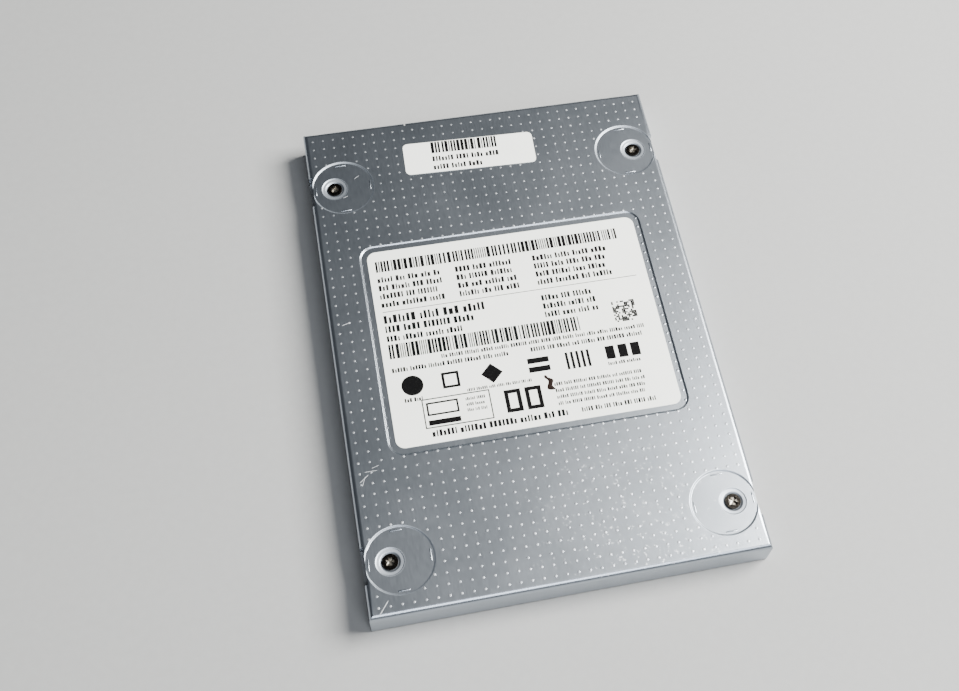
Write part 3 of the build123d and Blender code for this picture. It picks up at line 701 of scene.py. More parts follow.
pick(pips, "FACE", struck_flat)
bpy.ops.mesh.delete(type="FACE")
bpy.ops.object.mode_set(mode="OBJECT")
pick(pips, "FACE", lambda middle, normal: in_recess(*grid_place(middle), 0))
bpy.ops.transform.translate(value=mm(0, 0, -RECESS_DEPTH))
bpy.ops.object.mode_set(mode="OBJECT")
smooth(pips, PIP_SMOOTH)
finish(pips, "cover_pips", aluminium, "pressed_aluminium")

# %% [markdown]
# ## Pad marks
# Each screw pad carries four short raised dashes near its rim, left by the pressing tool. They could be cut
# into the cover's own faces, but a dash that is sunk in the sheet looks the same and is easier to place.
# One dash is a bar with its upper edges bevelled round.

# %% One dash
DASH_LENGTH = 2.2
DASH_WIDTH = 0.36
DASH_ROOT = 0.2
DASH_ROUND = 0.45
FACES_UP = 0.9

bpy.ops.object.select_all(action="DESELECT")
bpy.ops.mesh.primitive_cube_add(size=1, scale=mm(DASH_LENGTH, DASH_WIDTH, 2 * DASH_ROOT))
dash = bpy.context.object
bpy.ops.object.transform_apply(scale=True)
pick(dash, "FACE", lambda middle, normal: normal.z > FACES_UP)
bpy.ops.mesh.bevel(offset=DASH_WIDTH * DASH_ROUND * MM, segments=4, clamp_overlap=False)
bpy.ops.object.mode_set(mode="OBJECT")
print("one dash has", len(dash.data.polygons), "faces")

# %% [markdown]
# The dash is copied round each pad, turned by a quarter each time, and the copies are joined. Each copy
# has its own mesh, so that the join can bake its place.

# %% Dashes round each pad
DASH_HEIGHT = 0.07
DASH_RADIUS = 5.3
DASH_SMOOTH = 25


def joined(pieces):
    """Joins pieces into the first of them, with their places baked in."""
    alone(pieces[0])
    for piece in pieces:
        piece.select_set(True)
    bpy.ops.object.transform_apply(location=True, rotation=True, scale=True)
    bpy.ops.object.join()
    return bpy.context.object


dashes = []
for side in (-1, 1):
    for row in PAD_ROWS:
        for quarter in range(4):
            angle = math.radians(90 * quarter)
            copy = dash.copy()
            copy.data = dash.data.copy()
            bpy.context.scene.collection.objects.link(copy)
            copy.location = mm(
                side * PAD_X + DASH_RADIUS * math.cos(angle), row + DASH_RADIUS * math.sin(angle),
                pad_face + DASH_HEIGHT - DASH_ROOT,
            )
            copy.rotation_euler.z = angle + math.radians(90)
            dashes.append(copy)
bpy.data.objects.remove(dash)
marks = joined(dashes)
smooth(marks, DASH_SMOOTH)
finish(marks, "pad_marks", aluminium, "pressed_aluminium")

# %% [markdown]
# ## Label film
# Both labels are white polyester film with a matt print coat. The coat scatters light evenly and keeps only
# a soft sheen. One flat white would look unreal, so a faint mottle varies its tone and sheen. The coat also
# has a very low orange peel, which is drawn coarser than the real one so that it shows.

# %% Label film material
MOTTLE = 6.0
FILM_TONES = ("EFF2EC", "F8FAF6")
FILM_ROUGHNESS = (0.42, 0.56)
PEEL = 0.7
PEEL_DEPTH = 0.01
PEEL_STRENGTH = 0.08

film, tree, shader, place = start_material("matt coated polyester film", {"IOR": 1.57})
mottle = add(tree, "TexNoise", {"Vector": place, "Scale": per_mm(MOTTLE), "Detail": 5.0}).outputs[0]
peel = add(tree, "TexNoise", {"Vector": place, "Scale": per_mm(PEEL), "Detail": 2.0}).outputs[0]
film_tones = {0: mottle, 6: colour(FILM_TONES[0]), 7: colour(FILM_TONES[1])}
white = add(tree, "Mix", film_tones, data_type="RGBA").outputs[2]
tree.links.new(white, shader.inputs["Base Color"])
sheen_span = {"Value": mottle, "To Min": FILM_ROUGHNESS[0], "To Max": FILM_ROUGHNESS[1]}
sheen = add(tree, "MapRange", sheen_span).outputs[0]
tree.links.new(sheen, shader.inputs["Roughness"])
bump = add(tree, "Bump", {"Strength": PEEL_STRENGTH, "Distance": PEEL_DEPTH * MM, "Height": peel})
tree.links.new(bump.outputs[0], shader.inputs["Normal"])
print("label film nodes:", len(tree.nodes))

# %% [markdown]
# ## Labels
# A die-cut label is a rounded rectangle with a thin, slightly rolled edge. A scaled cube would have sharp
# corners, so a plane gets its corners from a bevel on its points, is extruded to the film's thickness, and
# its top edge is rolled by a last bevel.

# %% How a label is cut
EDGE_ROLL = 0.02
CORNER_STEPS = 10


def label(size, corner, thick):
    """A film label at the origin, standing on its back."""
    bpy.ops.object.select_all(action="DESELECT")
    bpy.ops.mesh.primitive_plane_add(size=size[0] * MM)
    piece = bpy.context.object
    bpy.ops.object.mode_set(mode="EDIT")
    bpy.ops.mesh.select_all(action="SELECT")
    bpy.ops.transform.resize(value=(1, size[1] / size[0], 1))
    bpy.ops.mesh.bevel(offset=corner * MM, segments=CORNER_STEPS, affect="VERTICES")
    bpy.ops.mesh.select_all(action="SELECT")
    bpy.ops.mesh.extrude_region_move(TRANSFORM_OT_translate={"value": mm(0, 0, thick)})
    bpy.ops.mesh.select_all(action="SELECT")
    bpy.ops.mesh.normals_make_consistent(inside=False)
    bpy.ops.object.mode_set(mode="OBJECT")
    pick(piece, "FACE", lambda middle, normal: normal.z > FACES_UP)
    bpy.ops.mesh.bevel(offset=EDGE_ROLL * MM, segments=2)
    bpy.ops.object.mode_set(mode="OBJECT")
    return piece


print("label edges are rolled by", EDGE_ROLL, "mm")

# %% [markdown]
# The main label lies square in its recess, where its CAD piece is. The small one was stuck on by hand, a
# little askew. It is thinner by two layers of ink, so that its print stays below the CAD label's top.

# %% Both labels
FILM_THICK = 0.1
INK_THICK = 0.004
MAIN_CORNER = 1.7
SMALL_CORNER = 1.0
LABEL_SMOOTH = 50

label_size = ((label_high.x - label_low.x) / MM, (label_high.y - label_low.y) / MM)
label_middle = (label_high + label_low) / 2
main_label = label(label_size, MAIN_CORNER, FILM_THICK)
main_label.location = (label_middle.x, label_middle.y, label_low.z)
smooth(main_label, LABEL_SMOOTH)
finish(main_label, "main_label_film", film, "label_film")
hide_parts("main_label")

small_thick = FILM_THICK - 2 * INK_THICK
small_label = label(SMALL_LABEL_SIZE, SMALL_CORNER, small_thick)
small_label.location = mm(*SMALL_LABEL_MIDDLE, FACE)
small_label.rotation_euler.z = math.radians(SMALL_LABEL_TURN)
smooth(small_label, LABEL_SMOOTH)
finish(small_label, "small_label_film", film, "label_film")
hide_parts("small_label")

# %% [markdown]
# ## Printing ink
# The print is black resin melted on from a ribbon. It dries matt and reflects little, so it stays black
# even in the key light, and it thins out in specks where the ribbon missed. Real specks are too fine to
# show, so they are drawn coarser.

# %% Printing ink material
INK_SPECK = 0.25
SPECK_SPAN = (0.55, 0.8)
INK_TONES = ("050506", "1C1D1D")
INK_ROUGHNESS = (0.6, 0.75)
RESIN = {"IOR": 1.5, "Specular IOR Level": 0.06}

ink, tree, shader, place = start_material("black thermal transfer ink", RESIN)
specks = add(tree, "TexNoise", {"Vector": place, "Scale": per_mm(INK_SPECK), "Detail": 2.0}).outputs[0]
thin_span = {"Value": specks, "From Min": SPECK_SPAN[0], "From Max": SPECK_SPAN[1]}
thin = add(tree, "MapRange", thin_span).outputs[0]
ink_tones = {0: thin, 6: colour(INK_TONES[0]), 7: colour(INK_TONES[1])}
black = add(tree, "Mix", ink_tones, data_type="RGBA").outputs[2]
tree.links.new(black, shader.inputs["Base Color"])
dry_span = {"Value": specks, "To Min": INK_ROUGHNESS[0], "To Max": INK_ROUGHNESS[1]}
dry = add(tree, "MapRange", dry_span).outputs[0]
tree.links.new(dry, shader.inputs["Roughness"])
print("ink nodes:", len(tree.nodes))

# %% [markdown]
# ## Print on the labels
# The print is a generic data label: bars of random width, rows of word-like ticks that spell nothing,
# and plain shapes. A picture could carry it, but marks in a mesh stay crisp at any distance. Each mark is a
# plane added in edit mode and stretched to its size, all in one mesh, and Solidify gives the ink its few
# microns. A seeded random generator repeats the same print each time.

# %% Open and close a print
PRINT_SEED = 25

shuffle = random.Random(PRINT_SEED)


def open_print():
    """An empty mesh, open in edit mode, that marks are added to."""
    bpy.ops.object.select_all(action="DESELECT")
    bpy.ops.object.add(type="MESH")
    bpy.ops.object.mode_set(mode="EDIT")
    bpy.ops.mesh.select_mode(type="FACE")
    return bpy.context.object


def close_print(piece, name, place, turn):
    """Gives the marks their thickness and lays them on a label."""
    bpy.ops.object.mode_set(mode="OBJECT")
    apply(piece, "SOLIDIFY", thickness=INK_THICK * MM, offset=1.0)
    piece.location = mm(*place)
    piece.rotation_euler.z = math.radians(turn)
    finish(piece, name, ink, "label_film")


print("ink lies", INK_THICK, "mm thick")

# %% [markdown]
# A bar code is bars and spaces a few modules wide, the module being its narrowest bar. A row of words is
# drawn as ticks, each as wide as a share of the row's height, in groups of a word's length.

# %% Bars and words
BAR_MODULES = (1, 1, 2, 2, 3)
SPACE_MODULES = (1, 1, 1, 2)
WORD_LETTERS = (3, 7)
LETTER_WIDTHS = (0.2, 0.46)
LETTER_HEIGHTS = (0.75, 1.0, 1.0)
LETTER_GAP = 0.2
WORD_GAP = 0.35


def bar(x0, x1, y0, y1):
    """A filled rectangle."""
    bpy.ops.mesh.primitive_plane_add(size=(x1 - x0) * MM, location=mm((x0 + x1) / 2, (y0 + y1) / 2, 0))
    bpy.ops.transform.resize(value=(1, (y1 - y0) / (x1 - x0), 1))


def bar_code(x0, x1, y0, y1, module):
    """Bars and spaces of a few modules each, at random."""
    x = x0
    while x < x1 - max(BAR_MODULES) * module:
        width = module * shuffle.choice(BAR_MODULES)
        bar(x, x + width, y0, y1)
        x += width + module * shuffle.choice(SPACE_MODULES)


def word_row(x0, x1, y, tall):
    """Word-like groups of ticks between x0 and x1, standing on y - tall / 2."""
    x = x0
    foot = y - tall / 2
    while x < x1 - tall:
        for letter in range(shuffle.randint(*WORD_LETTERS)):
            width = tall * shuffle.uniform(*LETTER_WIDTHS)
            if x + width < x1:
                bar(x, x + width, foot, foot + tall * shuffle.choice(LETTER_HEIGHTS))
            x += width + tall * LETTER_GAP
        x += tall * WORD_GAP


print("words of", WORD_LETTERS[0], "to", WORD_LETTERS[1], "ticks")

# %% [markdown]
# The upper half of the main label has a wide bar code, a table of small print, a thin rule, a few larger
# lines and a second bar code. Their places are lists of numbers, so a line is easy to move. A code is
# given by its left, right, foot, top and module, a line by its left, right, middle and height.

# %% Main label print, upper half
PRINT_LEFT = -24.8
SMALL_PRINT = 1.2
TOP_CODE = (PRINT_LEFT, 23.1, 15.9, 18.3, 0.2)
TABLE_ROWS = (14.2, 12.4, 10.6, 8.8)
TABLE_COLUMNS = ((PRINT_LEFT, -12.5), (-10.0, 1.5), (5.0, 19.5))
RULE = (PRINT_LEFT, 24.0, 7.15, 7.28)
MIDDLE_LINES = (
    (PRINT_LEFT, -3.5, 5.6, 1.7),
    (PRINT_LEFT, -8.3, 3.5, 1.4),
    (PRINT_LEFT, -9.5, 1.5, SMALL_PRINT),
    (5.0, 15.6, 5.3, SMALL_PRINT),
    (5.0, 15.6, 3.5, SMALL_PRINT),
    (5.0, 15.6, 1.7, SMALL_PRINT),
)
MIDDLE_CODE = (PRINT_LEFT, 11.5, -2.7, 0.3, 0.19)

main_print = open_print()
bar_code(*TOP_CODE)
for row in TABLE_ROWS:
    for left, right in TABLE_COLUMNS:
        word_row(left, right, row, SMALL_PRINT)
bar(*RULE)
for line in MIDDLE_LINES:
    word_row(*line)
bar_code(*MIDDLE_CODE)
print("upper half:", len(TABLE_ROWS) * len(TABLE_COLUMNS) + len(MIDDLE_LINES), "lines and two bar codes")

# %% [markdown]
# Beside the second bar code stands a field of random square dots. The dots are a little smaller than their
# cells, so that neighbours don't share a wall when the ink gets its thickness. Two rows of fine print follow.

# %% Main label print, dots and fine print
CELL = 0.34
DOT = 0.33
CELLS = 13
DOTS_CORNER = (17.8, -2.2)
DOTS_FILLED = 0.5
FINE_LINES = ((-15.5, 22.9, -3.6, 0.8), (PRINT_LEFT, -3.3, -5.1, 0.9), (0.9, 22.9, -5.1, 0.9))

for column in range(CELLS):
    for row in range(CELLS):
        if shuffle.random() < DOTS_FILLED:
            x = DOTS_CORNER[0] + column * CELL
            y = DOTS_CORNER[1] + row * CELL
            bar(x, x + DOT, y, y + DOT)
for line in FINE_LINES:
    word_row(*line)
print("field of dots", CELLS * CELL, "mm wide")

# %% [markdown]
# Such a label has a row of symbols below. Here they are plain shapes: a disc, a hollow square, a diamond,
# two bars, five stripes and three blocks, with a few words under them. A circle with four sides is a
# diamond, and an inset whose inner face is deleted leaves an outline. A filled symbol is given by its place
# in the row and its sides, an outline by its middle, width, height and line.

# %% Shapes for symbols
SYMBOL_Y = -8.6
SYMBOL = 4.0


def symbol(x, sides):
    """A filled regular shape with this many sides, as wide as a symbol."""
    bpy.ops.mesh.primitive_circle_add(
        vertices=sides, radius=SYMBOL / 2 * MM, fill_type="NGON", location=mm(x, SYMBOL_Y, 0)
    )


def outline(x, y, wide, tall, line):
    """A rectangle round a middle, drawn as a line of the given thickness."""
    bpy.ops.mesh.primitive_plane_add(size=wide * MM, location=mm(x, y, 0))
    bpy.ops.transform.resize(value=(1, tall / wide, 1))
    bpy.ops.mesh.inset(thickness=line * MM)
    bpy.ops.mesh.delete(type="FACE")


print("symbols are", SYMBOL, "mm wide")

# %% Main label print, symbols
DISC = (-21.6, 32)
SQUARE = (-14.6, SYMBOL_Y, 3.2, 3.2, 0.5)
DIAMOND = (-7.0, 4)
TWO_BARS = (
    (-0.2, 3.8, SYMBOL_Y + 0.6, SYMBOL_Y + 1.7),
    (-0.2, 3.8, SYMBOL_Y - 1.2, SYMBOL_Y - 0.1),
)
STRIPES = 5
STRIPE = 0.5
STRIPES_LEFT = 6.9
STRIPES_SPAN = (SYMBOL_Y - 1.7, SYMBOL_Y + 1.8)
BLOCKS_LEFT = (14.5, 16.9, 19.3)
BLOCK = 1.7
BLOCKS_SPAN = (SYMBOL_Y - 0.9, SYMBOL_Y + 1.8)
SYMBOL_LINES = ((-23.4, -19.8, -11.4, 0.8), (-12.0, 0.0, -11.2, 0.6), (14.5, 21.5, -10.4, 0.7))

symbol(*DISC)
outline(*SQUARE)
symbol(*DIAMOND)
for sides in TWO_BARS:
    bar(*sides)
for stripe in range(STRIPES):
    x = STRIPES_LEFT + stripe * 2 * STRIPE
    bar(x, x + STRIPE, *STRIPES_SPAN)
for x in BLOCKS_LEFT:
    bar(x, x + BLOCK, *BLOCKS_SPAN)
for line in SYMBOL_LINES:
    word_row(*line)
print("symbols and", len(SYMBOL_LINES), "lines under them")

# %% [markdown]
# The foot of the label has a framed box with a few words, a bar and a smaller frame in it, two upright
# frames, a block of fine print, and two closing lines. With them the print is whole and is laid on the label.

# %% Main label print, foot
BOX = (-14.3, -14.6, 12.4, 5.828, 0.22)
BOX_LINES = tuple((-12.6, -8.9, row, 0.6) for row in (-12.9, -14.0, -15.1))
BOX_BAR = (-19.8, -14.0, -17.0, -16.0)
BOX_FRAME = (-16.9, -13.8, 5.8, 2.61, 0.35)
UPRIGHT_FRAMES = ((-4.1, -14.7, 3.0, 4.5, 0.75), (-0.3, -14.7, 3.0, 4.5, 0.75))
FOOT_LINES = (
    (3.8, 20.5, -12.8, 0.7),
    (3.8, 20.5, -14.1, 0.7),
    (3.8, 20.5, -15.4, 0.7),
    (3.8, 20.5, -16.7, 0.7),
    (-19.5, 5.1, -18.6, 1.25),
    (7.7, 21.7, -18.6, 0.9),
)

outline(*BOX)
for line in BOX_LINES:
    word_row(*line)
bar(*BOX_BAR)
outline(*BOX_FRAME)
for sides in UPRIGHT_FRAMES:
    outline(*sides)
for line in FOOT_LINES:
    word_row(*line)
close_print(main_print, "main_label_print", (0, RECESS_MIDDLE_Y, label_high.z / MM), 0)

# %% [markdown]
# The small label has one bar code and two lines of words, drawn in its middle and then turned with it.

# %% Small label print
SMALL_CODE = (-7.5, 6.0, 0.9, 3.6, 0.2)
SMALL_LINES = ((-7.5, 6.0, -0.5, 1.2), (-7.5, 3.4, -2.5, 1.2))

small_print = open_print()
bar_code(*SMALL_CODE)
for line in SMALL_LINES:
    word_row(*line)
close_print(small_print, "small_label_print", (*SMALL_LABEL_MIDDLE, FACE + small_thick), SMALL_LABEL_TURN)

# %% [markdown]
# ## A dried brown spot
# Something brown dried on the main label in the shape of a small comma. It could be painted into the film's
# material, but it stands up a little and has its own shine. A little plane is extruded along its curve,
# widened and narrowed on the way, thickened and rounded off by a subdivision. Each point of the curve is
# given by its place and the spot's width there.

# %% Brown spot
SPOT_POINTS = (
    (2.5, -11.5, 0.6), (3.2, -11.8, 1.1), (3.4, -12.3, 1.0), (3.1, -12.8, 0.9),
    (2.9, -13.3, 1.0), (3.1, -13.8, 1.6), (3.5, -14.1, 1.1),
)
SPOT_THICK = 0.06

bpy.ops.object.select_all(action="DESELECT")
start_x, start_y, start_width = SPOT_POINTS[0]
bpy.ops.mesh.primitive_plane_add(size=start_width * MM, location=mm(start_x, start_y + start_width / 2, 0))
spot = bpy.context.object
bpy.ops.object.transform_apply(location=True)
pick(spot, "VERT", lambda place, normal: place.y < start_y + NEARNESS)
for (x0, y0, width0), (x1, y1, width1) in zip(SPOT_POINTS, SPOT_POINTS[1:]):
    bpy.ops.mesh.extrude_region_move(TRANSFORM_OT_translate={"value": mm(x1 - x0, y1 - y0, 0)})
    bpy.ops.transform.resize(value=(width1 / width0, 1, 1))
bpy.ops.object.mode_set(mode="OBJECT")
apply(spot, "SOLIDIFY", thickness=SPOT_THICK * MM, offset=1.0)
apply(spot, "SUBSURF", levels=2, render_levels=2)
spot.location = (0, 0, label_high.z)
print("the spot runs through", len(SPOT_POINTS), "points")

# %% [markdown]
# A varnish that dried by itself is uneven: dark where it is thick, browner where it is thin, with clots
# that break up its weak shine.

# %% Dried varnish
CLOT = 0.5
VARNISH_TONES = ("070403", "21130D")
VARNISH_ROUGHNESS = (0.35, 0.6)
SPOT_SMOOTH = 60

dried, tree, shader, place = start_material("dried brown varnish", {"IOR": 1.5, "Specular IOR Level": 0.12})
clots = add(tree, "TexNoise", {"Vector": place, "Scale": per_mm(CLOT), "Detail": 3.0}).outputs[0]
varnish_tones = {0: clots, 6: colour(VARNISH_TONES[0]), 7: colour(VARNISH_TONES[1])}
brown = add(tree, "Mix", varnish_tones, data_type="RGBA").outputs[2]
tree.links.new(brown, shader.inputs["Base Color"])
crust_span = {"Value": clots, "To Min": VARNISH_ROUGHNESS[0], "To Max": VARNISH_ROUGHNESS[1]}
crust = add(tree, "MapRange", crust_span).outputs[0]
tree.links.new(crust, shader.inputs["Roughness"])
smooth(spot, SPOT_SMOOTH)
finish(spot, "brown_spot", dried, "label_film")

# %% [markdown]
# ## Screws
# The four cover screws are small blackened steel ones with a cross recess. Black oxide is a thin dark skin
# that a hot bath grows on the steel, so the head is nearly black with a dull metal shine, worn thin in
# patches. The driver scraped it from the recess, which is bare steel. The recess lies within a small
# distance of the screw's axis, and all four screws are alike, so the distance used for the pads finds it.

# %% Black oxide steel
OXIDE_PATCH = 0.35
THIN_SPAN = (0.58, 0.72)
OXIDE_TONES = ("1F1D1B", "57524B")
BARE_TONE = "A39E94"
BARE_RADIUS = 0.8
OXIDE_ROUGHNESS = (0.22, 0.4)

oxide, tree, shader, place = start_material("black oxide steel", {"Metallic": 1.0})
skin = add(tree, "TexNoise", {"Vector": place, "Scale": per_mm(OXIDE_PATCH), "Detail": 4.0}).outputs[0]
rubbed = add(tree, "MapRange", {"Value": skin, "From Min": THIN_SPAN[0], "From Max": THIN_SPAN[1]}).outputs[0]
oxide_tones = {0: rubbed, 6: colour(OXIDE_TONES[0]), 7: colour(OXIDE_TONES[1])}
dark = add(tree, "Mix", oxide_tones, data_type="RGBA").outputs[2]
from_axis = corner_distance(tree, place, SCREW_X)
bare_near, bare_far = mm(BARE_RADIUS / 2, BARE_RADIUS)
scraped = add(tree, "MapRange", {"Value": from_axis, "From Min": bare_far, "From Max": bare_near}).outputs[0]
steel = add(tree, "Mix", {0: scraped, 6: dark, 7: colour(BARE_TONE)}, data_type="RGBA").outputs[2]
tree.links.new(steel, shader.inputs["Base Color"])
shine_span = {"Value": skin, "To Min": OXIDE_ROUGHNESS[0], "To Max": OXIDE_ROUGHNESS[1]}
shine = add(tree, "MapRange", shine_span).outputs[0]
tree.links.new(shine, shader.inputs["Roughness"])
print("screw steel is bare within", BARE_RADIUS / 2, "mm of the axis")

# %% [markdown]
# The heads are the CAD ones with their edges broken. The board's screws are inside the case, so they keep
# their CAD form and only get the steel.

# %% Cover screws and board screws
SOLID_SMOOTH = 30
SCREW_EDGE = 0.05


def dress(material, *node_names):
    """Gives CAD pieces a material in place of the plain one they came with."""
    for name in node_names:
        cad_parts[name].data.materials.clear()
        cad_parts[name].data.materials.append(material)
    print(material.name, "on", len(node_names), "pieces")


screws = welded_copy("cover_screws", SOLID_SMOOTH, SCREW_EDGE)
finish(screws, "cover_screws_black", oxide, "screw_steel")
dress(oxide, "board_screws")

# %% [markdown]
# ## Cast tray
# The tray under the cover is die-cast aluminium. Molten metal chills against a steel die that was itself
# spark eroded, which leaves an even stipple and faint clouds, duller and rougher than sheet. A stipple
# made of faces would take millions of them, so a bump does it, coarser than the real one so that it shows.

# %% Cast tray
STIPPLE = 0.35
STIPPLE_DEPTH = 0.03
STIPPLE_STRENGTH = 0.35
CLOUD = 14.0
CAST_TONES = ("9A9DA0", "B4B6B8")
CAST_ROUGHNESS = (0.48, 0.62)
TRAY_EDGE = 0.06

cast, tree, shader, place = start_material("die-cast aluminium", {"Metallic": 1.0})
stipple = add(tree, "TexNoise", {"Vector": place, "Scale": per_mm(STIPPLE), "Detail": 3.0}).outputs[0]
clouds = add(tree, "TexNoise", {"Vector": place, "Scale": per_mm(CLOUD), "Detail": 4.0}).outputs[0]
cast_tones = {0: clouds, 6: colour(CAST_TONES[0]), 7: colour(CAST_TONES[1])}
grey = add(tree, "Mix", cast_tones, data_type="RGBA").outputs[2]
tree.links.new(grey, shader.inputs["Base Color"])
dull_span = {"Value": clouds, "To Min": CAST_ROUGHNESS[0], "To Max": CAST_ROUGHNESS[1]}
dull = add(tree, "MapRange", dull_span).outputs[0]
tree.links.new(dull, shader.inputs["Roughness"])
bump = add(tree, "Bump", {"Strength": STIPPLE_STRENGTH, "Distance": STIPPLE_DEPTH * MM, "Height": stipple})
tree.links.new(bump.outputs[0], shader.inputs["Normal"])
tray = welded_copy("base_tray", SOLID_SMOOTH, TRAY_EDGE)
finish(tray, "tray_casting", cast, "cast_aluminium")

# %% [markdown]
# ## Threads
# The mounting holes are tapped for M3 screws, and the CAD holes are plain. A bump could suggest a thread,
# but not its shadowed grooves. So a small triangle is swept by the Screw modifier, half a millimetre up
# each turn, and its two open ends are filled.

# %% One thread
THREAD_PITCH = 0.5
THREAD_RADIUS = 1.25
THREAD_HEIGHT = 0.12
TURN_STEPS = 20


def thread(turns):
    """A helical ridge round the Z axis, rising from the origin."""
    bpy.ops.object.select_all(action="DESELECT")
    bpy.ops.mesh.primitive_circle_add(
        vertices=3, radius=THREAD_HEIGHT * MM, location=mm(THREAD_RADIUS, 0, 0), rotation=(math.pi / 2, 0, 0)
    )
    piece = bpy.context.object
    bpy.ops.object.transform_apply(location=True, rotation=True)
    apply(piece, "SCREW", angle=2 * math.pi, screw_offset=THREAD_PITCH * MM, iterations=turns,
          steps=TURN_STEPS, render_steps=TURN_STEPS, use_merge_vertices=False)
    bpy.ops.object.mode_set(mode="EDIT")
    bpy.ops.mesh.select_all(action="SELECT")
    bpy.ops.mesh.fill_holes(sides=3)
    bpy.ops.mesh.normals_make_consistent(inside=False)
    bpy.ops.object.mode_set(mode="OBJECT")
    return piece


print("thread", THREAD_PITCH, "mm a turn")

# %% [markdown]
# Four holes stand upright in the tray's underside and four lie in its sides, at the pad rows. One thread
# of each length is modelled, and a copy with its own mesh goes into each hole.

# %% Threads in every hole
BOTTOM_TURNS = 5
SIDE_TURNS = 4
HOLE_X = 30.86
SIDE_HOLE_Z = 3.0
THREAD_START = 0.25
THREAD_SMOOTH = 50

upright = thread(BOTTOM_TURNS)
lying = thread(SIDE_TURNS)
side_x = cad_box[1][0] / MM - THREAD_START
threads = []
for side in (-1, 1):
    for row in PAD_ROWS:
        for master, foot, tilt in (
            (upright, (side * HOLE_X, row, THREAD_START), 0),
            (lying, (side * side_x, row, SIDE_HOLE_Z), -90 * side),
        ):
            copy = master.copy()
            copy.data = master.data.copy()
            bpy.context.scene.collection.objects.link(copy)
            copy.location = mm(*foot)
            copy.rotation_euler.y = math.radians(tilt)
            threads.append(copy)
bpy.data.objects.remove(upright)
bpy.data.objects.remove(lying)
ridges = joined(threads)
smooth(ridges, THREAD_SMOOTH)
finish(ridges, "mounting_threads", cast, "cast_aluminium")

# %% [markdown]
# ## Finishes of the smaller pieces
# The plug, its contacts, the board and its parts each need a surface that isn't one flat colour. Each could
# have its own node tree, but they are small and mostly hidden, so they share one recipe: two tones of the
# material mixed by a noise, a roughness that varies with it, and a low bump. Real grains of such finishes
# are too fine to show, so each grain size below is coarser than the real one.

# %% Two-tone finish
ROUGHNESS_SPREAD = 0.06
BUMP_DEPTH = 0.01
BUMP_STRENGTH = 0.3
METAL = {"Metallic": 1.0}
POLYMER = {"IOR": 1.55}


def grained(name, dark_hex, light_hex, constants, grain_size, roughness, bump_depth=BUMP_DEPTH):
    """A material of two tones mixed by a fine noise that also drives roughness and bump."""
    material, tree, shader, place = start_material(name, constants)
    grains = add(tree, "TexNoise", {"Vector": place, "Scale": per_mm(grain_size), "Detail": 4.0}).outputs[0]
    tones = {0: grains, 6: colour(dark_hex), 7: colour(light_hex)}
    tree.links.new(add(tree, "Mix", tones, data_type="RGBA").outputs[2], shader.inputs["Base Color"])
    smoothest = roughness - ROUGHNESS_SPREAD
    roughest = roughness + ROUGHNESS_SPREAD
    span = {"Value": grains, "To Min": smoothest, "To Max": roughest}
    tree.links.new(add(tree, "MapRange", span).outputs[0], shader.inputs["Roughness"])
    low = add(tree, "Bump", {"Strength": BUMP_STRENGTH, "Distance": bump_depth * MM, "Height": grains})
    tree.links.new(low.outputs[0], shader.inputs["Normal"])
    return material


print("roughness varies by", ROUGHNESS_SPREAD, "each way")

# %% [markdown]
# ## Plug
# The plug is a moulded black housing with two tongues, gold contacts on them, and two tinned tabs that hold
# it to the board. Its mouth shows at the far end of the drive, so the housing is a copy with broken edges.
# The contacts and tabs are the CAD pieces with a finish.

# %% Plug
HOUSING_EDGE = 0.05

# Glass-filled liquid crystal polymer, moulded: black, matt, with a faint flow mottle
polymer = grained(
    "glass-filled black polymer", "141516", "232527", {"IOR": 1.6}, grain_size=0.3, roughness=0.5
)
housing = welded_copy("connector_housing", SOLID_SMOOTH, HOUSING_EDGE)
finish(housing, "plug_housing", polymer, "plug_plastic")
# Hard gold over nickel, plated and wiped: warm, shiny, with light rub marks
gold = grained(
    "hard gold plating", "D9A94A", "F0C877", METAL, grain_size=0.4, roughness=0.25, bump_depth=0.004
)
dress(gold, "signal_contacts", "power_contacts")
# Tinned brass, dipped: pale and slightly frosted
tin = grained(
    "tinned brass", "B8BABC", "D6D8D9", METAL, grain_size=0.5, roughness=0.36, bump_depth=0.006
)
dress(tin, "connector_hold_downs")

# %% [markdown]
# ## Board and chips
# The board, its chips and the soft pads that carry their heat to the case are inside and only show when the
# drive is opened. Their forms are the CAD ones. What tells them apart is the finish: a glossy green mask,
# matt black epoxy and chalky silicone.

# %% Board, chips and thermal pads
FLASH_PACKAGES = ["flash_package_" + str(number) for number in range(1, 9)]

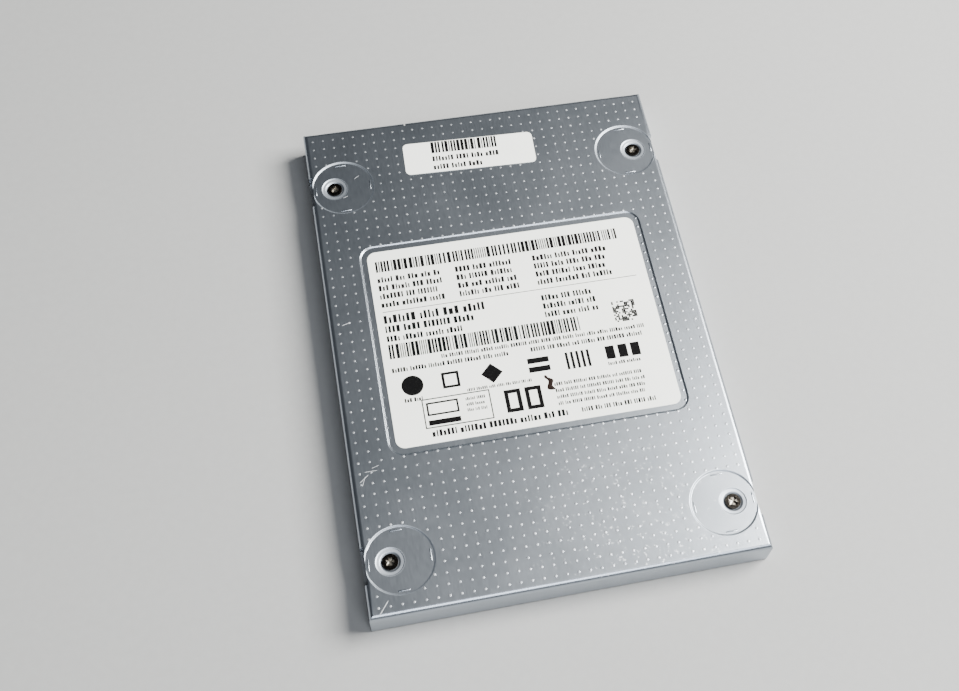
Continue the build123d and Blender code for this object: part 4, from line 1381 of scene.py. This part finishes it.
# Solder mask cured over copper and glass cloth: glossy dark green, slightly mottled
solder_mask = grained(
    "green solder mask on glass laminate", "0F3A26", "185239", POLYMER, grain_size=0.6, roughness=0.34
)
dress(solder_mask, "circuit_board")
# Transfer-moulded epoxy: near black and matt
epoxy = grained("moulded black epoxy", "16171A", "26282B", POLYMER, grain_size=0.2, roughness=0.55)
dress(epoxy, "controller_chip", "cache_memory", "settings_memory", "regulator_chips", *FLASH_PACKAGES)
# Silicone filled with ceramic powder, cast in sheets: pale grey, soft, chalky
silicone = grained(
    "ceramic-filled silicone", "8C96A0", "A6B0BA", {"IOR": 1.41},
    grain_size=0.8, roughness=0.8, bump_depth=0.03,
)
dress(silicone, "controller_pad", "lower_flash_pad", "upper_flash_pad")

# %% [markdown]
# ## Small parts on the board
# Around the chips stand the parts that feed and time them. They are a few millimetres long at most, so the
# CAD forms are enough, and each kind gets the finish of what it is made of.

# %% Small parts
# Gold-flashed nickel iron, stamped and slightly brushed: a pale warm metal
lid = grained(
    "brushed nickel iron lid", "A8A496", "CFCBBB", METAL, grain_size=0.3, roughness=0.3, bump_depth=0.004
)
dress(lid, "clock_crystal")
# Iron powder pressed in resin: dark grey and granular
powder = grained(
    "pressed iron powder", "2B2C2E", "4A4B4E", POLYMER, grain_size=0.25, roughness=0.62, bump_depth=0.02
)
dress(powder, "power_inductors")
# Fired and glazed ceramic: off-white and slightly glossy
alumina = grained("glazed alumina", "D8D4C8", "ECE8DD", {"IOR": 1.7}, grain_size=0.4, roughness=0.3)
dress(alumina, "input_fuse")
# Epoxy moulded round tantalum: dull yellow
yellow = grained("yellow moulded epoxy", "B98A2E", "D4A548", POLYMER, grain_size=0.4, roughness=0.5)
dress(yellow, "bulk_capacitors")
# Fired barium titanate: tan and matt
titanate = grained(
    "fired barium titanate", "8A6A4A", "A88762", {"IOR": 1.9}, grain_size=0.2, roughness=0.45
)
dress(titanate, "ceramic_capacitors")
# Resistor glass fired on alumina: black and glossy
glaze = grained(
    "black resistor glaze", "101112", "1E2022", {"IOR": 1.52}, grain_size=0.2, roughness=0.28
)
dress(glaze, "chip_resistors")
